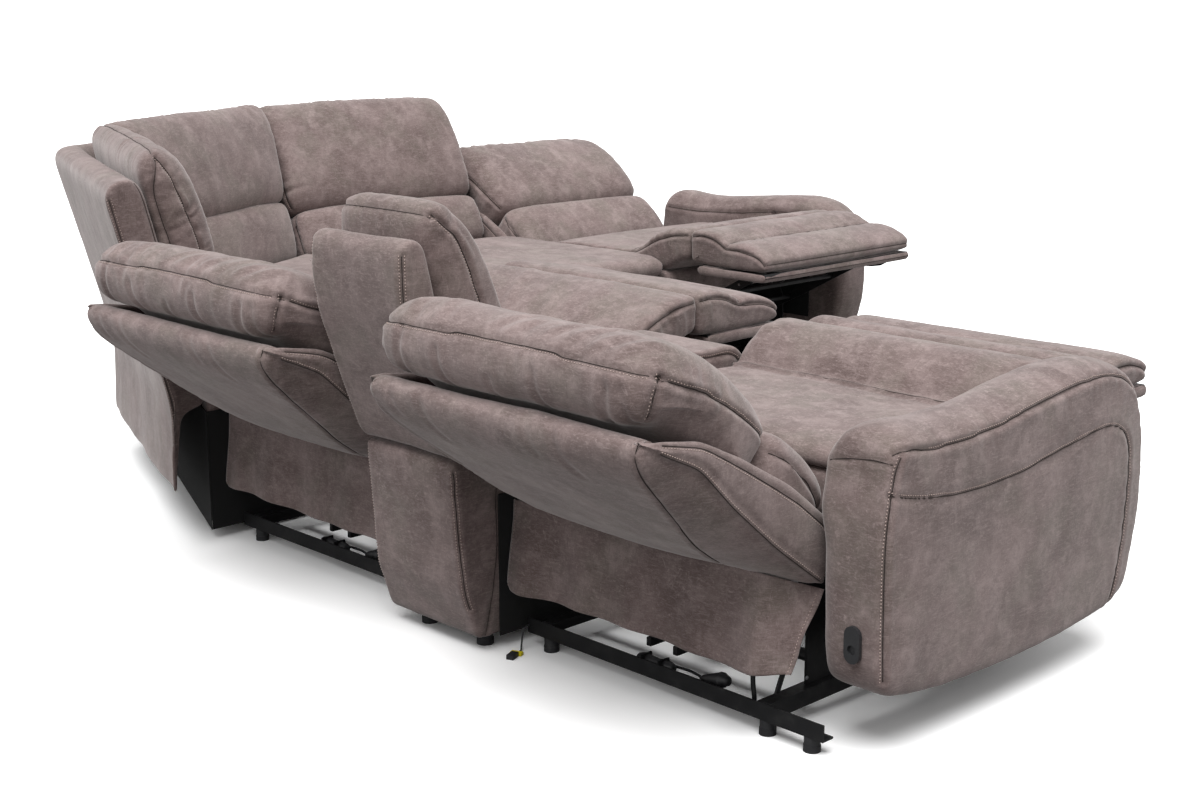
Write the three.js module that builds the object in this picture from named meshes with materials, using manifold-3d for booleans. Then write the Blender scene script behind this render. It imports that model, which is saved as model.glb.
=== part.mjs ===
// A reclining corner sofa: two legs that meet in a corner wedge. Leg one holds a middle recliner, a narrow
// console with a backrest and a near recliner with an arm. Leg two holds an armless seat and a far recliner
// with an arm. The three recliners lie back with their footrests out. Millimetres, +Z up.
import * as THREE from 'three';
import { mergeVertices } from 'three/addons/utils/BufferGeometryUtils.js';
import Module from 'manifold-3d';

const wasm = await Module();
wasm.setup();

// Widths of the modules along the legs
const wedgeWidth = 1156;
const middleWidth = 769;
const consoleWidth = 302;
const nearWidth = 760;
const armlessWidth = 784;
const farWidth = 760;
const armWidth = 158;
const moduleGap = 4;

// Clearances
const touchGap = 0.3;
const overrun = 20;

// Seat of a recliner, measured forward from the rear of its closed module and up from the floor
const seatRear = 388;
const seatLength = 667;
const seatBottom = 460;
const seatHeight = 137;
const seatRound = 26;
const seatCrown = 5;
const deckFront = 972;
const deckThickness = 98;
const deckRound = 34;

// Back of a recliner, in a frame that leans back about the recline pivot
const pivotY = 282;
const pivotZ = 336;
const reclinedLean = 48;
const shellDepth = 132;
const shellTop = 574;
const shellPan = 50;
const shellChamferTop = 233;
const shellPanBottom = 84;
const wingWidth = 34;
const wingTip = 58;
const wingFront = 50;
const backFront = 112;
const backTop = 634;
const lumbarTop = 276;
const lumbarBottom = 62;
const backRound = 30;
const backCrown = 10;
const lugWidth = 6;
const lugRadius = 18;

// Footrest, measured the same way as the seat
const footRear = 1064;
const footLength = 322;
const footHeight = 93;
const boardTop = 492;
const boardThickness = 24;
const boardRear = 1100;
const boardFront = 1379;
const footInset = 12;
const footRound = 22;
const footCrown = 4;

// Linkage pivots at rest and its flat steel bars
const lowerPivotY = 860.3;
const lowerPivotZ = 259.8;
const kneeY = 1004;
const kneeZ = 329.7;
const boardPivotY = 1235;
const boardPivotZ = 452;
const linkThickness = 5;
const linkWidth = 28;
const crossTubeRadius = 8;
const earWidth = 64;

// Steel base and the carriage that slides on it
const footStand = 30;
const footRadius = 13;
const railHeight = 35;
const railWidth = 30;
const railWall = 4;
const railInset = 70;
const rearBarY = 176;
const frontBarY = 820;
const barInset = 28;
const outrigger = 56;
const outriggerFoot = 20;
const plateThickness = 6;
const plateInset = 84;
const plateRear = 300;
const plateFront = 900;
const plateBand = 34;
const earRadius = 20;
const strapY = 176;
const strapZ = 300;
const drawTubeRadius = 12;
const rearTubeY = 330;
const rearTubeZ = 110;
const frontTubeY = 700;

// Drive motor under the seat
const motorLength = 110;
const motorRadius = 27;
const gearboxLength = 84;
const gearboxWidth = 64;
const gearboxHeight = 62;
const driveRailSide = 26;
const driveRailFront = 760;

// Cloth skirt behind a reclined seat
const skirtDrop = 178;
const skirtSlant = 22;
const skirtThickness = 5;
const skirtFolds = 5;
const skirtColumns = 6;
const skirtRows = 3;
const skirtFoldDepth = 9;
const skirtInset = 48;

// Arms, with the switch in the inner face and the power socket on the rear face
const armRear = 205;
const armLength = 878;
const armBottom = 103;
const armHeight = 519;
const armRound = 30;
const armCrown = 12;
const switchY = 800;
const switchBelowTop = 74;
const switchZ = armBottom + armHeight - switchBelowTop;
const switchLength = 62;
const switchHeight = 26;
const switchDepth = 7;
const switchPocket = 11;
const switchSlack = 1.2;
const switchRidge = 4;
const socketWidth = 34;
const socketHeight = 70;
const socketThickness = 8;
const socketZ = 221;
const socketInset = 62;
const socketHole = 9;
const socketHoleDepth = 5;

// Upright backs of the wedge and the armless seat, each in a frame of its own that leans back
const uprightLean = 15;
const uprightY = 150;
const uprightZ = 320;
const uprightTop = 665;
const uprightShellTop = 636;
const armlessLean = 24;
const armlessY = 59;
const armlessZ = 327;
const armlessTop = 688;
const armlessShellTop = 640;
const armlessLumbarTop = 300;
const uprightShellBottom = 40;
const panelBottom = 130;
const armlessPanelFoot = -70;

// Wedge corner, where its two rear faces meet, and how far its second face ends behind leg two
const cornerX = 228;
const cornerY = 378;
const wedgeBackset = 160;
const wedgeNose = 186;
const wedgeFront = wedgeWidth - wedgeNose;
const boxBottom = 30;
const boxTop = 440;
const wedgeSeatTop = 505;
const wedgeSeatRear = 250;
const boxRound = 40;

// Armless seat
const armlessFront = 968;

// Console with its narrow back
const consoleRear = 30;
const consoleLedge = 34;
const consoleFront = 900;
const consoleTop = 548;
const consoleShellRear = 112;
const consoleShellTop = 880;
const consoleShellBottom = 426;
const consoleShellThickness = 62;
const consoleShellSlope = 115;
const consoleCushionTop = 942;
const consoleCushionDepth = 165;
const consoleRound = 22;

// Low-voltage lead that lies on the floor behind the near recliner, with its tag and connector
const leadRadius = 2;
const leadPoints = [
  [34, 175.7, 47],
  [34, 168, 47],
  [34, 158, 38],
  [36, 151, 15],
  [40, 146, 3.2],
  [46, 138, 2.5],
  [50, 128, 2.5],
];
const tagLength = 12;
const tagWidth = 26;
const tagThickness = 3;
const connectorLength = 26;
const connectorWidth = 16;
const connectorHeight = 10;

// Shares of an outline's depth and height, and how far each point swells with the crown
const seatShares = [
  [0, 0, 0], [0.44, 0, 0], [0.874, 0, 0], [0.886, 0.07, 0], [0.948, 0.22, 0.5], [0.996, 0.47, 1], [0.992, 0.79, 1],
  [0.918, 0.985, 1], [0.81, 0.82, 1], [0.715, 0.42, 1], [0.68, 0.26, 0], [0.645, 0.35, 1], [0.33, 0.36, 1],
  [0.06, 0.31, 0.5], [0, 0.2, 0],
];
const footShares = [
  [0, 0.25, 0], [0.05, 0, 0], [0.5, 0, 0], [0.97, 0, 0], [1, 0.25, 0.5], [0.975, 0.62, 1], [0.86, 0.84, 1],
  [0.66, 0.9, 1], [0.5, 0.82, 1], [0.455, 0.64, 0], [0.41, 0.82, 1], [0.19, 1, 1], [0.02, 0.73, 0],
];
const headShares = [
  [0, 0.06, 0], [0.1, 0, 0], [0.7, 0, 0], [0.93, 0.06, 0], [1, 0.24, 1], [0.98, 0.46, 1], [0.9, 0.68, 1],
  [0.72, 0.88, 1], [0.5, 0.97, 1], [0.28, 1, 1], [0.07, 0.95, 1], [-0.03, 0.86, 0], [0, 0.76, 0],
];
const lumbarShares = [
  [0, 0.3, 0], [0.34, 0.04, 0], [0.7, 0, 0], [0.92, 0.1, 1], [1, 0.36, 1], [1, 0.66, 1], [0.94, 0.9, 0.5],
  [0.78, 1, 0], [0.1, 1, 0], [0, 0.93, 0],
];
const armShares = [
  [0, 0.08, 0], [0.03, 0.02, 0], [0.44, 0, 0], [0.87, 0.01, 0], [0.93, 0.06, 1], [0.985, 0.25, 1], [1, 0.48, 1],
  [0.99, 0.75, 1], [0.955, 0.89, 1], [0.86, 0.985, 1], [0.7, 1, 1], [0.37, 0.985, 1], [0.14, 0.985, 1],
  [0.04, 0.955, 1], [0, 0.86, 0],
];
const boxShares = [
  [0, 0], [1, 0], [1, 0.86], [0.985, 0.96], [0.95, 1], [0, 1],
];
const uprightShellShares = [
  [0.4, 0], [0.4, 0.9], [0.34, 0.97], [0.22, 1], [0.08, 0.985], [0, 0.93],
];
const uprightCushionShares = [
  [0, 0.04, 0], [0.5, 0, 0], [0.85, 0.02, 0], [0.98, 0.12, 1], [1, 0.3, 1], [0.97, 0.56, 1], [0.86, 0.8, 1],
  [0.66, 0.95, 1], [0.4, 1, 1], [0.12, 0.97, 1], [0, 0.88, 0],
];
const plainLumbarShares = [
  [0, 0.04, 0], [0.6, 0, 0], [0.92, 0.07, 1], [1, 0.34, 1], [1, 0.66, 1], [0.93, 0.93, 0.5], [0.7, 1, 0], [0, 1, 0],
];
const wedgeCushionShares = [
  [0, 0.02, 0], [0.6, 0, 0], [0.9, 0.03, 0.5], [1, 0.12, 1], [1, 0.28, 1], [0.93, 0.37, 1], [0.84, 0.395, 0],
  [0.93, 0.42, 1], [0.99, 0.54, 1], [0.95, 0.74, 1], [0.82, 0.9, 1], [0.55, 0.985, 1], [0.25, 1, 1], [0, 0.94, 0],
];
const consoleCushionShares = [
  [0.2, 0.02, 0], [0.6, 0, 0], [0.94, 0.04, 1], [1, 0.2, 1], [0.95, 0.42, 1], [0.86, 0.68, 1], [0.68, 0.9, 1],
  [0.42, 1, 1], [0.14, 0.96, 1], [0, 0.82, 0],
];
const endShares = [[0, 1], [0.3, 0.3], [1, 0]];
const crownShares = [[0.25, 0.75], [0.5, 1], [0.75, 0.75]];
const wedgeFrontShare = 0.5;
const windowShare = 0.62;

const fabric = () => new THREE.MeshStandardMaterial({ color: 0x85776f, roughness: 0.95, metalness: 0 });
const lining = () => new THREE.MeshStandardMaterial({ color: 0x6f625b, roughness: 1, metalness: 0 });
const steel = () => new THREE.MeshStandardMaterial({ color: 0x161616, roughness: 0.5, metalness: 0.6 });
const plastic = () => new THREE.MeshStandardMaterial({ color: 0x26262a, roughness: 0.45, metalness: 0 });
const yellow = () => new THREE.MeshStandardMaterial({ color: 0xd8c21c, roughness: 0.6, metalness: 0 });

function part(name, geometry, material) {
  const mesh = new THREE.Mesh(geometry, material);
  mesh.name = name;
  return mesh;
}

// Solids are joined and cut as manifolds, then handed back as plain geometry
function solid(geometry) {
  const bare = geometry.index ? geometry.clone() : geometry;
  bare.deleteAttribute('normal');
  bare.deleteAttribute('uv');
  const merged = mergeVertices(bare);
  const vertProperties = new Float32Array(merged.attributes.position.array);
  const triVerts = new Uint32Array(merged.index.array);
  return new wasm.Manifold(new wasm.Mesh({ numProp: 3, vertProperties, triVerts }));
}

function joined(geometries) {
  return geometries.map(solid).reduce((whole, piece) => whole.add(piece));
}

function geometryOf(manifold) {
  const mesh = manifold.getMesh();
  const geometry = new THREE.BufferGeometry();
  geometry.setAttribute('position', new THREE.BufferAttribute(mesh.vertProperties, mesh.numProp));
  geometry.setIndex(new THREE.BufferAttribute(mesh.triVerts, 1));
  return geometry;
}

// A box between two values on each axis
function block(x0, x1, y0, y1, z0, z1) {
  const box = new THREE.BoxGeometry(x1 - x0, y1 - y0, z1 - z0);
  return box.translate((x0 + x1) / 2, (y0 + y1) / 2, (z0 + z1) / 2);
}

// An outline of forward and up values carried across from x0 to x1
function plate(outline, x0, x1) {
  const shape = new THREE.Shape(outline.map(([y, z]) => new THREE.Vector2(y, z)));
  const slab = new THREE.ExtrudeGeometry(shape, { depth: x1 - x0, bevelEnabled: false });
  const across = new THREE.Vector3(1, 0, 0);
  const forward = new THREE.Vector3(0, 1, 0);
  const up = new THREE.Vector3(0, 0, 1);
  slab.applyMatrix4(new THREE.Matrix4().makeBasis(forward, up, across));
  return slab.translate(x0, 0, 0);
}

// A round bar across the sofa, from x0 to x1
function crossBar(y, z, radius, x0, x1) {
  const bar = new THREE.CylinderGeometry(radius, radius, x1 - x0, 12);
  bar.rotateZ(Math.PI / 2);
  return bar.translate((x0 + x1) / 2, y, z);
}

// A round foot that stands on the floor
function foot(x, y, height) {
  const stand = new THREE.CylinderGeometry(footRadius, footRadius, height, 12);
  stand.rotateX(Math.PI / 2);
  return stand.translate(x, y, height / 2);
}

// A flat bar with round ends between two pivots
function linkOutline([y0, z0], [y1, z1], width) {
  const angle = Math.atan2(z1 - z0, y1 - y0);
  const turns = 6;
  const end = (y, z, start) => Array.from({ length: turns + 1 }, (_, k) => {
    const turn = start + Math.PI * k / turns;
    return [y + Math.cos(turn) * width / 2, z + Math.sin(turn) * width / 2];
  });
  return [...end(y1, z1, angle - Math.PI / 2), ...end(y0, z0, angle + Math.PI / 2)];
}

// An outline from shares of a depth and a height, kept with its swell shares
function outlineFrom(shares, y0, z0, depth, height) {
  return shares.map(([y, z, swell = 0]) => [y0 + y * depth, z0 + z * height, swell]);
}

// An outline turned back about its own origin and moved to the place of that origin
function leaned(outline, y0, z0, lean) {
  const angle = THREE.MathUtils.degToRad(lean);
  return outline.map(([u, v, swell]) => [
    y0 + u * Math.cos(angle) - v * Math.sin(angle),
    z0 + u * Math.sin(angle) + v * Math.cos(angle),
    swell,
  ]);
}

// Outward direction at each corner of an outline that runs anticlockwise
function outlineNormals(outline) {
  const count = outline.length;
  return outline.map((point, k) => {
    const before = outline[(k + count - 1) % count];
    const after = outline[(k + 1) % count];
    const run = new THREE.Vector2(after[0] - before[0], after[1] - before[1]).normalize();
    return [run.y, -run.x];
  });
}

// Closed rings skinned into one body, with both ends capped by the triangles of a flat outline
function skinned(rings, flat) {
  const count = flat.length;
  const caps = THREE.ShapeUtils.triangulateShape(flat.map(([a, b]) => new THREE.Vector2(a, b)), []);
  const last = (rings.length - 1) * count;
  const triangles = [];
  for (let r = 0; r < rings.length - 1; r += 1) {
    for (let k = 0; k < count; k += 1) {
      const a = r * count + k;
      const b = r * count + (k + 1) % count;
      triangles.push([a, b, b + count], [a, b + count, a + count]);
    }
  }
  caps.forEach(([a, b, c]) => triangles.push([c, b, a], [last + a, last + b, last + c]));
  const points = rings.flat();
  const wedgeOf = ([a, b, c]) => points[a].dot(points[b].clone().cross(points[c]));
  const volume = triangles.reduce((sum, triangle) => sum + wedgeOf(triangle), 0);
  const ordered = volume < 0 ? triangles.map(([a, b, c]) => [a, c, b]) : triangles;
  const geometry = new THREE.BufferGeometry();
  geometry.setFromPoints(points);
  geometry.setIndex(ordered.flat());
  return geometry;
}

// A padded body: an outline carried across between two frames, drawn in at both ends and crowned between
function padded(outline, from, to, endRound, crown) {
  const normals = outlineNormals(outline);
  const start = new THREE.Vector2(...from.origin);
  const finish = new THREE.Vector2(...to.origin);
  const length = start.distanceTo(finish);
  const stations = [
    ...endShares.map(([along, inset]) => [along * endRound / length, inset * endRound, 0]),
    ...crownShares.map(([along, swell]) => [along, 0, swell * crown]),
    ...endShares.map(([along, inset]) => [1 - along * endRound / length, inset * endRound, 0]).reverse(),
  ];
  const rings = stations.map(([along, inset, swell]) => {
    const origin = start.clone().lerp(finish, along);
    const forward = new THREE.Vector2(...from.forward).lerp(new THREE.Vector2(...to.forward), along);
    return outline.map(([y, z, weight], k) => {
      const shift = swell * weight - inset;
      const reach = y + normals[k][0] * shift;
      return new THREE.Vector3(origin.x + forward.x * reach, origin.y + forward.y * reach, z + normals[k][1] * shift);
    });
  });
  return skinned(rings, outline);
}

function straight(x0, x1) {
  return [{ origin: [x0, 0], forward: [0, 1] }, { origin: [x1, 0], forward: [0, 1] }];
}

// A hanging cloth between two values across, with its folds deepening towards the hem
function hangingCloth(x0, x1, topY, topZ) {
  const columns = skirtFolds * skirtColumns;
  const rows = Array.from({ length: skirtRows + 1 }, (_, row) => row / skirtRows);
  const section = (column) => {
    const fold = skirtFoldDepth * (Math.cos(2 * Math.PI * column / skirtColumns) - 1) / 2;
    const reach = (down) => topY - skirtSlant * down * down + fold * down;
    const face = (down, back) => [reach(down) - back, topZ - skirtDrop * down];
    return [...rows.map((down) => face(down, skirtThickness)), ...rows.map((down) => face(down, 0)).reverse()];
  };
  const rings = Array.from({ length: columns + 1 }, (_, column) => section(column)
    .map(([y, z]) => new THREE.Vector3(x0 + (x1 - x0) * column / columns, y, z)));
  return skinned(rings, section(0));
}

// A steel angle across the sofa, with its wall at the rear and its flange at the bottom
function crossAngle(y, start, end) {
  const top = footStand + railHeight - railWall / 2;
  const outline = [
    [y, footStand], [y + railWidth, footStand], [y + railWidth, footStand + railWall],
    [y + railWall, footStand + railWall], [y + railWall, top], [y, top],
  ];
  return plate(outline, start, end);
}

// A steel angle from the rear bar to the front bar, with its wall outside and its flange on top
function sideAngle(inner, outer) {
  const bottom = footStand + railWall / 2;
  const top = footStand + railHeight;
  const wall = outer + railWall * Math.sign(inner - outer);
  const outline = [
    [outer, bottom], [wall, bottom], [wall, top - railWall], [inner, top - railWall], [inner, top], [outer, top],
  ];
  const rail = plate(outline, -frontBarY - railWidth + railWall / 2, -rearBarY - railWall / 2);
  return rail.rotateZ(-Math.PI / 2);
}

// Steel base of a recliner: two side rails, two crossbars and round feet
function baseFrame(width, armSide) {
  const reach = outrigger * Math.abs(armSide);
  const barStart = armSide < 0 ? -reach : barInset;
  const barEnd = width - (armSide > 0 ? -reach : barInset);
  const frontStart = armSide < 0 ? barInset : touchGap - moduleGap;
  const frontEnd = width - (armSide > 0 ? barInset : touchGap - moduleGap);
  const left = railInset;
  const right = width - railInset;
  const footTop = footStand + railWall * 0.75;
  const stands = [left + railWidth / 2, right - railWidth / 2]
    .flatMap((x) => [rearBarY, frontBarY].map((y) => foot(x, y + railWidth / 2, footTop)));
  const extra = armSide > 0 ? width + outriggerFoot : -outriggerFoot;
  const extraFeet = armSide === 0 ? [] : [foot(extra, rearBarY + railWidth / 2, footTop)];
  const clevis = [width / 2 - driveRailSide, width / 2 + driveRailSide - railWall].map((x) => block(
    x, x + railWall, rearBarY + railWall / 2, rearBarY + railWidth + railWall,
    footStand + railWall / 2, footStand + railHeight + railWall,
  ));
  return geometryOf(joined([
    crossAngle(rearBarY, barStart, barEnd),
    crossAngle(frontBarY, frontStart, frontEnd),
    sideAngle(left + railWidth, left),
    sideAngle(right - railWidth, right),
    ...stands,
    ...extraFeet,
    ...clevis,
  ]));
}

// One side plate of the carriage, with its recline ear, its strap to the skirt bar and a window cut in it
function carriageSide(x) {
  const bottom = footStand + railHeight + touchGap;
  const top = seatBottom - deckThickness - touchGap;
  const band = plateBand;
  const outline = [
    [plateRear, bottom], [plateFront, bottom], [plateFront, lowerPivotZ + band], [plateFront - band, top],
    [seatRear, top], [pivotY + earRadius, pivotZ + earRadius / 2], [plateRear, pivotZ],
  ];
  const middleY = (plateRear + plateFront) / 2;
  const middleZ = (bottom + top) / 2;
  const reachY = (plateFront - plateRear) / 2 - 2 * band;
  const reachZ = (top - bottom) / 2 - band;
  const openings = [-1, 1].map((side) => {
    const near = middleY + side * band / 2;
    const far = middleY + side * reachY;
    const slope = windowShare * reachZ;
    const corners = [
      [near, middleZ - reachZ], [far, middleZ - slope], [far, middleZ + slope], [near, middleZ + reachZ],
    ];
    return plate(side > 0 ? corners : corners.reverse(), x - overrun, x + plateThickness + overrun);
  });
  const wall = [x, x + plateThickness];
  const ear = plate(linkOutline([pivotY, pivotZ], [plateRear + band, bottom + band], 2 * earRadius), ...wall);
  const strap = plate(linkOutline([strapY, strapZ], [pivotY, pivotZ - earRadius / 2], band / 2), ...wall);
  return solid(plate(outline, x, x + plateThickness)).subtract(joined(openings)).add(joined([ear, strap]));
}

function carriage(width) {
  const left = plateInset;
  const right = width - plateInset - plateThickness;
  const frontTubeZ = footStand + railHeight + drawTubeRadius + railWall;
  const tubes = [
    crossBar(rearTubeY, rearTubeZ, drawTubeRadius, left, right + plateThickness),
    crossBar(frontTubeY, frontTubeZ, drawTubeRadius, left, right + plateThickness),
    crossBar(strapY, strapZ, crossTubeRadius, left, right + plateThickness),
  ];
  return geometryOf(carriageSide(left).add(carriageSide(right)).add(joined(tubes)));
}

// Motor, gearbox and drive rail, held between the two tubes of the carriage
function driveMotor(width) {
  const middle = width / 2;
  const bottom = footStand + railHeight + 2 * drawTubeRadius + railWall + touchGap;
  const rear = rearTubeY + drawTubeRadius + touchGap;
  const half = driveRailSide / 2;
  const rail = block(middle - half, middle + half, rear, driveRailFront, bottom, bottom + driveRailSide);
  const box = block(
    middle - gearboxWidth / 2, middle + gearboxWidth / 2, rear + driveRailSide, rear + driveRailSide + gearboxLength,
    bottom, bottom + gearboxHeight,
  );
  const can = new THREE.CylinderGeometry(motorRadius, motorRadius, motorLength, 16);
  can.translate(middle, rear + driveRailSide + gearboxLength + motorLength / 2 - railWall, bottom + motorRadius);
  return geometryOf(joined([rail, box, can]));
}

// Upholstered deck under a seat cushion, with a rounded front
function seatDeck(width, armSide) {
  const bottom = seatBottom - deckThickness;
  const round = (share) => deckRound * share;
  const outline = [
    [seatRear, bottom], [deckFront - round(1), bottom], [deckFront - round(1 / 3), bottom + round(1 / 3)],
    [deckFront, bottom + round(1)], [deckFront, seatBottom - touchGap], [seatRear, seatBottom - touchGap],
  ];
  return plate(outline, armSide < 0 ? 0 : moduleGap, armSide > 0 ? width : width - moduleGap);
}

function seatCushion(width) {
  const outline = outlineFrom(seatShares, seatRear, seatBottom, seatLength, seatHeight);
  return padded(outline, ...straight(moduleGap, width - moduleGap), seatRound, seatCrown);
}

// Flat bars of one stage of the linkage on both sides, joined by a cross tube at their middle
function linkPair(width, from, to, stage) {
  const offset = plateInset + plateThickness + touchGap + stage * (linkThickness + touchGap);
  const middle = [(from[0] + to[0]) / 2, (from[1] + to[1]) / 2];
  const outline = linkOutline(from, to, linkWidth);
  return geometryOf(joined([
    plate(outline, offset, offset + linkThickness),
    plate(outline, width - offset - linkThickness, width - offset),
    crossBar(...middle, crossTubeRadius, offset, width - offset),
  ]));
}

// Footrest board with the two ears that hang it on the upper links
function footrestBoard(width) {
  const stage = 2;
  const offset = plateInset + plateThickness + touchGap + stage * (linkThickness + touchGap);
  const bottom = boardTop - boardThickness;
  const edge = boardThickness / 2;
  const outline = [
    [boardRear, bottom + edge], [boardRear + edge, bottom], [boardFront - edge, bottom], [boardFront, bottom + edge],
    [boardFront - edge / 2, boardTop], [boardRear, boardTop],
  ];
  const half = earWidth / 2;
  const ear = [
    [boardPivotY - half, bottom + edge], [boardPivotY - linkWidth / 3, boardPivotZ - linkWidth / 2],
    [boardPivotY + linkWidth / 3, boardPivotZ - linkWidth / 2], [boardPivotY + half, bottom + edge],
  ];
  return geometryOf(joined([
    plate(outline, footInset, width - footInset),
    plate(ear, offset, offset + linkThickness),
    plate(ear, width - offset - linkThickness, width - offset),
  ]));
}

function footrestPad(width) {
  const outline = outlineFrom(footShares, footRear, boardTop + touchGap, footLength, footHeight);
  return padded(outline, ...straight(footInset, width - footInset), footRound, footCrown);
}

// Back shell: a pan between two wings, with lugs that reach down to the recline pivot
function backShell(width) {
  const wing = [
    [-wingTip, -shellDepth / 6], [wingFront, wingFront + earRadius], [-wingFront / 2, shellTop - shellDepth],
    [-shellDepth + wingWidth, shellTop], [-shellDepth + wingWidth / 3, shellTop], [-shellDepth, shellTop - wingWidth],
    [-shellDepth, shellChamferTop],
  ];
  const pan = [
    [-shellDepth + wingWidth, shellPanBottom], [-shellDepth + wingWidth + shellPan, shellPanBottom],
    [-shellDepth + shellPan, shellChamferTop], [-shellDepth + shellPan, shellTop - wingWidth / 2],
    [-shellDepth + wingWidth, shellTop], [-shellDepth + wingWidth / 3, shellTop], [-shellDepth, shellTop - wingWidth],
    [-shellDepth, shellChamferTop],
  ];
  const left = 2 * moduleGap;
  const right = width - 2 * moduleGap;
  const offset = plateInset + plateThickness + touchGap;
  const root = -shellDepth + wingWidth;
  const lug = [
    [root, shellPanBottom + lugRadius], [root, shellPanBottom - lugRadius], [-lugRadius, -lugRadius / 2],
    [0, -lugRadius], [lugRadius, 0], [lugRadius / 2, lugRadius], [root + shellPan, shellPanBottom + lugRadius / 2],
  ];
  return geometryOf(joined([
    plate(pan, left, right),
    plate(wing, left, left + wingWidth),
    plate(wing, right - wingWidth, right),
    plate(lug, offset, offset + lugWidth),
    plate(lug, width - offset - lugWidth, width - offset),
  ]));
}

function backCushion(width, shares, bottom, top) {
  const rear = -shellDepth + shellPan + wingWidth + touchGap;
  const outline = outlineFrom(shares, rear, bottom, backFront - rear, top - bottom);
  const inset = 2 * moduleGap + wingWidth + touchGap;
  return padded(outline, ...straight(inset, width - inset), backRound, backCrown);
}

// An arm: its side outline carried across, with a pocket for the switch in the inner face
function arm(width, side) {
  const outline = outlineFrom(armShares, armRear, armBottom, armLength, armHeight);
  const inner = side > 0 ? width + touchGap : -touchGap;
  const body = solid(padded(outline, ...straight(inner, inner + side * armWidth), armRound, armCrown));
  const flat = plate(outline.slice(0, -1).map(([y, z]) => [
    armRear + armRound + (y - armRear) * (armLength - 2 * armRound) / armLength,
    armBottom + armRound + (z - armBottom) * (armHeight - 2 * armRound) / armHeight,
  ]), ...[inner, inner + side * armRound].sort((a, b) => a - b));
  const reach = [inner - side * overrun, inner + side * switchPocket].sort((a, b) => a - b);
  const pocket = block(
    ...reach, switchY - switchLength / 2 - switchSlack, switchY + switchLength / 2 + switchSlack,
    switchZ - switchHeight / 2 - switchSlack, switchZ + switchHeight / 2 + switchSlack,
  );
  return geometryOf(body.add(solid(flat)).subtract(solid(pocket)));
}

// Rocker switch in the pocket of an arm, on a ridge that it rocks about
function rockerSwitch(width, side) {
  const inner = side > 0 ? width + touchGap : -touchGap;
  const bottom = inner + side * (switchPocket - touchGap);
  const face = bottom - side * (switchPocket - switchDepth);
  const span = (a, b) => [Math.min(a, b), Math.max(a, b)];
  return geometryOf(joined([
    block(
      ...span(face, face - side * switchDepth), switchY - switchLength / 2, switchY + switchLength / 2,
      switchZ - switchHeight / 2, switchZ + switchHeight / 2,
    ),
    block(
      ...span(bottom, face - side * touchGap), switchY - switchRidge / 2, switchY + switchRidge / 2,
      switchZ - switchHeight / 2, switchZ + switchHeight / 2,
    ),
  ]));
}

// Oval power socket on the rear face of an arm, with its round inlet
function powerSocket(width) {
  const rounded = 8;
  const radius = socketWidth / 2;
  const straightHalf = (socketHeight - socketWidth) / 2;
  const arc = (z, start) => Array.from({ length: rounded + 1 }, (_, k) => {
    const turn = start + Math.PI * k / rounded;
    return new THREE.Vector2(Math.cos(turn) * radius, z + Math.sin(turn) * radius);
  });
  const shape = new THREE.Shape([...arc(straightHalf, 0), ...arc(-straightHalf, Math.PI)]);
  const body = new THREE.ExtrudeGeometry(shape, { depth: socketThickness, bevelEnabled: false });
  const hole = new THREE.CylinderGeometry(socketHole, socketHole, 2 * socketHoleDepth, 16);
  hole.rotateX(Math.PI / 2);
  hole.translate(0, -straightHalf / 2, socketThickness);
  const cut = geometryOf(solid(body).subtract(solid(hole)));
  cut.rotateX(Math.PI / 2);
  return cut.translate(width + armWidth - socketInset, armRear - touchGap, socketZ);
}

// A whole recliner, with its arm on the side given, or none
function recliner(prefix, width, armSide) {
  const group = new THREE.Group();
  const back = new THREE.Group();
  back.position.set(0, pivotY, pivotZ);
  back.rotation.x = THREE.MathUtils.degToRad(reclinedLean);
  back.add(
    part(`${prefix}_back_shell`, backShell(width), fabric()),
    part(`${prefix}_head_cushion`, backCushion(width, headShares, lumbarTop + touchGap, backTop), fabric()),
    part(`${prefix}_lumbar_cushion`, backCushion(width, lumbarShares, lumbarBottom, lumbarTop), fabric()),
  );
  const knee = [kneeY, kneeZ];
  const skirt = hangingCloth(skirtInset, width - skirtInset, strapY - crossTubeRadius - touchGap, strapZ);
  group.add(
    part(`${prefix}_base_frame`, baseFrame(width, armSide), steel()),
    part(`${prefix}_carriage`, carriage(width), steel()),
    part(`${prefix}_drive_motor`, driveMotor(width), plastic()),
    part(`${prefix}_seat_deck`, seatDeck(width, armSide), fabric()),
    part(`${prefix}_seat_cushion`, seatCushion(width), fabric()),
    part(`${prefix}_lower_links`, linkPair(width, [lowerPivotY, lowerPivotZ], knee, 0), steel()),
    part(`${prefix}_upper_links`, linkPair(width, knee, [boardPivotY, boardPivotZ], 1), steel()),
    part(`${prefix}_footrest_board`, footrestBoard(width), fabric()),
    part(`${prefix}_footrest_pad`, footrestPad(width), fabric()),
    part(`${prefix}_rear_skirt`, skirt, lining()),
    back,
  );
  if (armSide !== 0) {
    group.add(
      part(`${prefix}_arm`, arm(width, armSide), fabric()),
      part(`${prefix}_switch`, rockerSwitch(width, armSide), plastic()),
    );
  }
  return group;
}

// Shell of an upright back: its rear panel runs down behind the box, which its front meets
function panelShell(outline, footY) {
  return [[footY, panelBottom], [outline[0][0], panelBottom], ...outline];
}

// Upright upholstered box on round feet, open to nothing
function seatBox(width, rear, front) {
  const outline = outlineFrom(boxShares, rear, boxBottom, front - rear, boxTop - boxBottom);
  const feetX = [plateInset, width - plateInset];
  const feetY = [rear + plateInset, front - plateInset];
  const feet = feetX.flatMap((x) => feetY.map((y) => foot(x, y, boxBottom + railWall)));
  return geometryOf(joined([plate(outline, moduleGap, width + moduleGap - touchGap), ...feet]));
}

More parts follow.
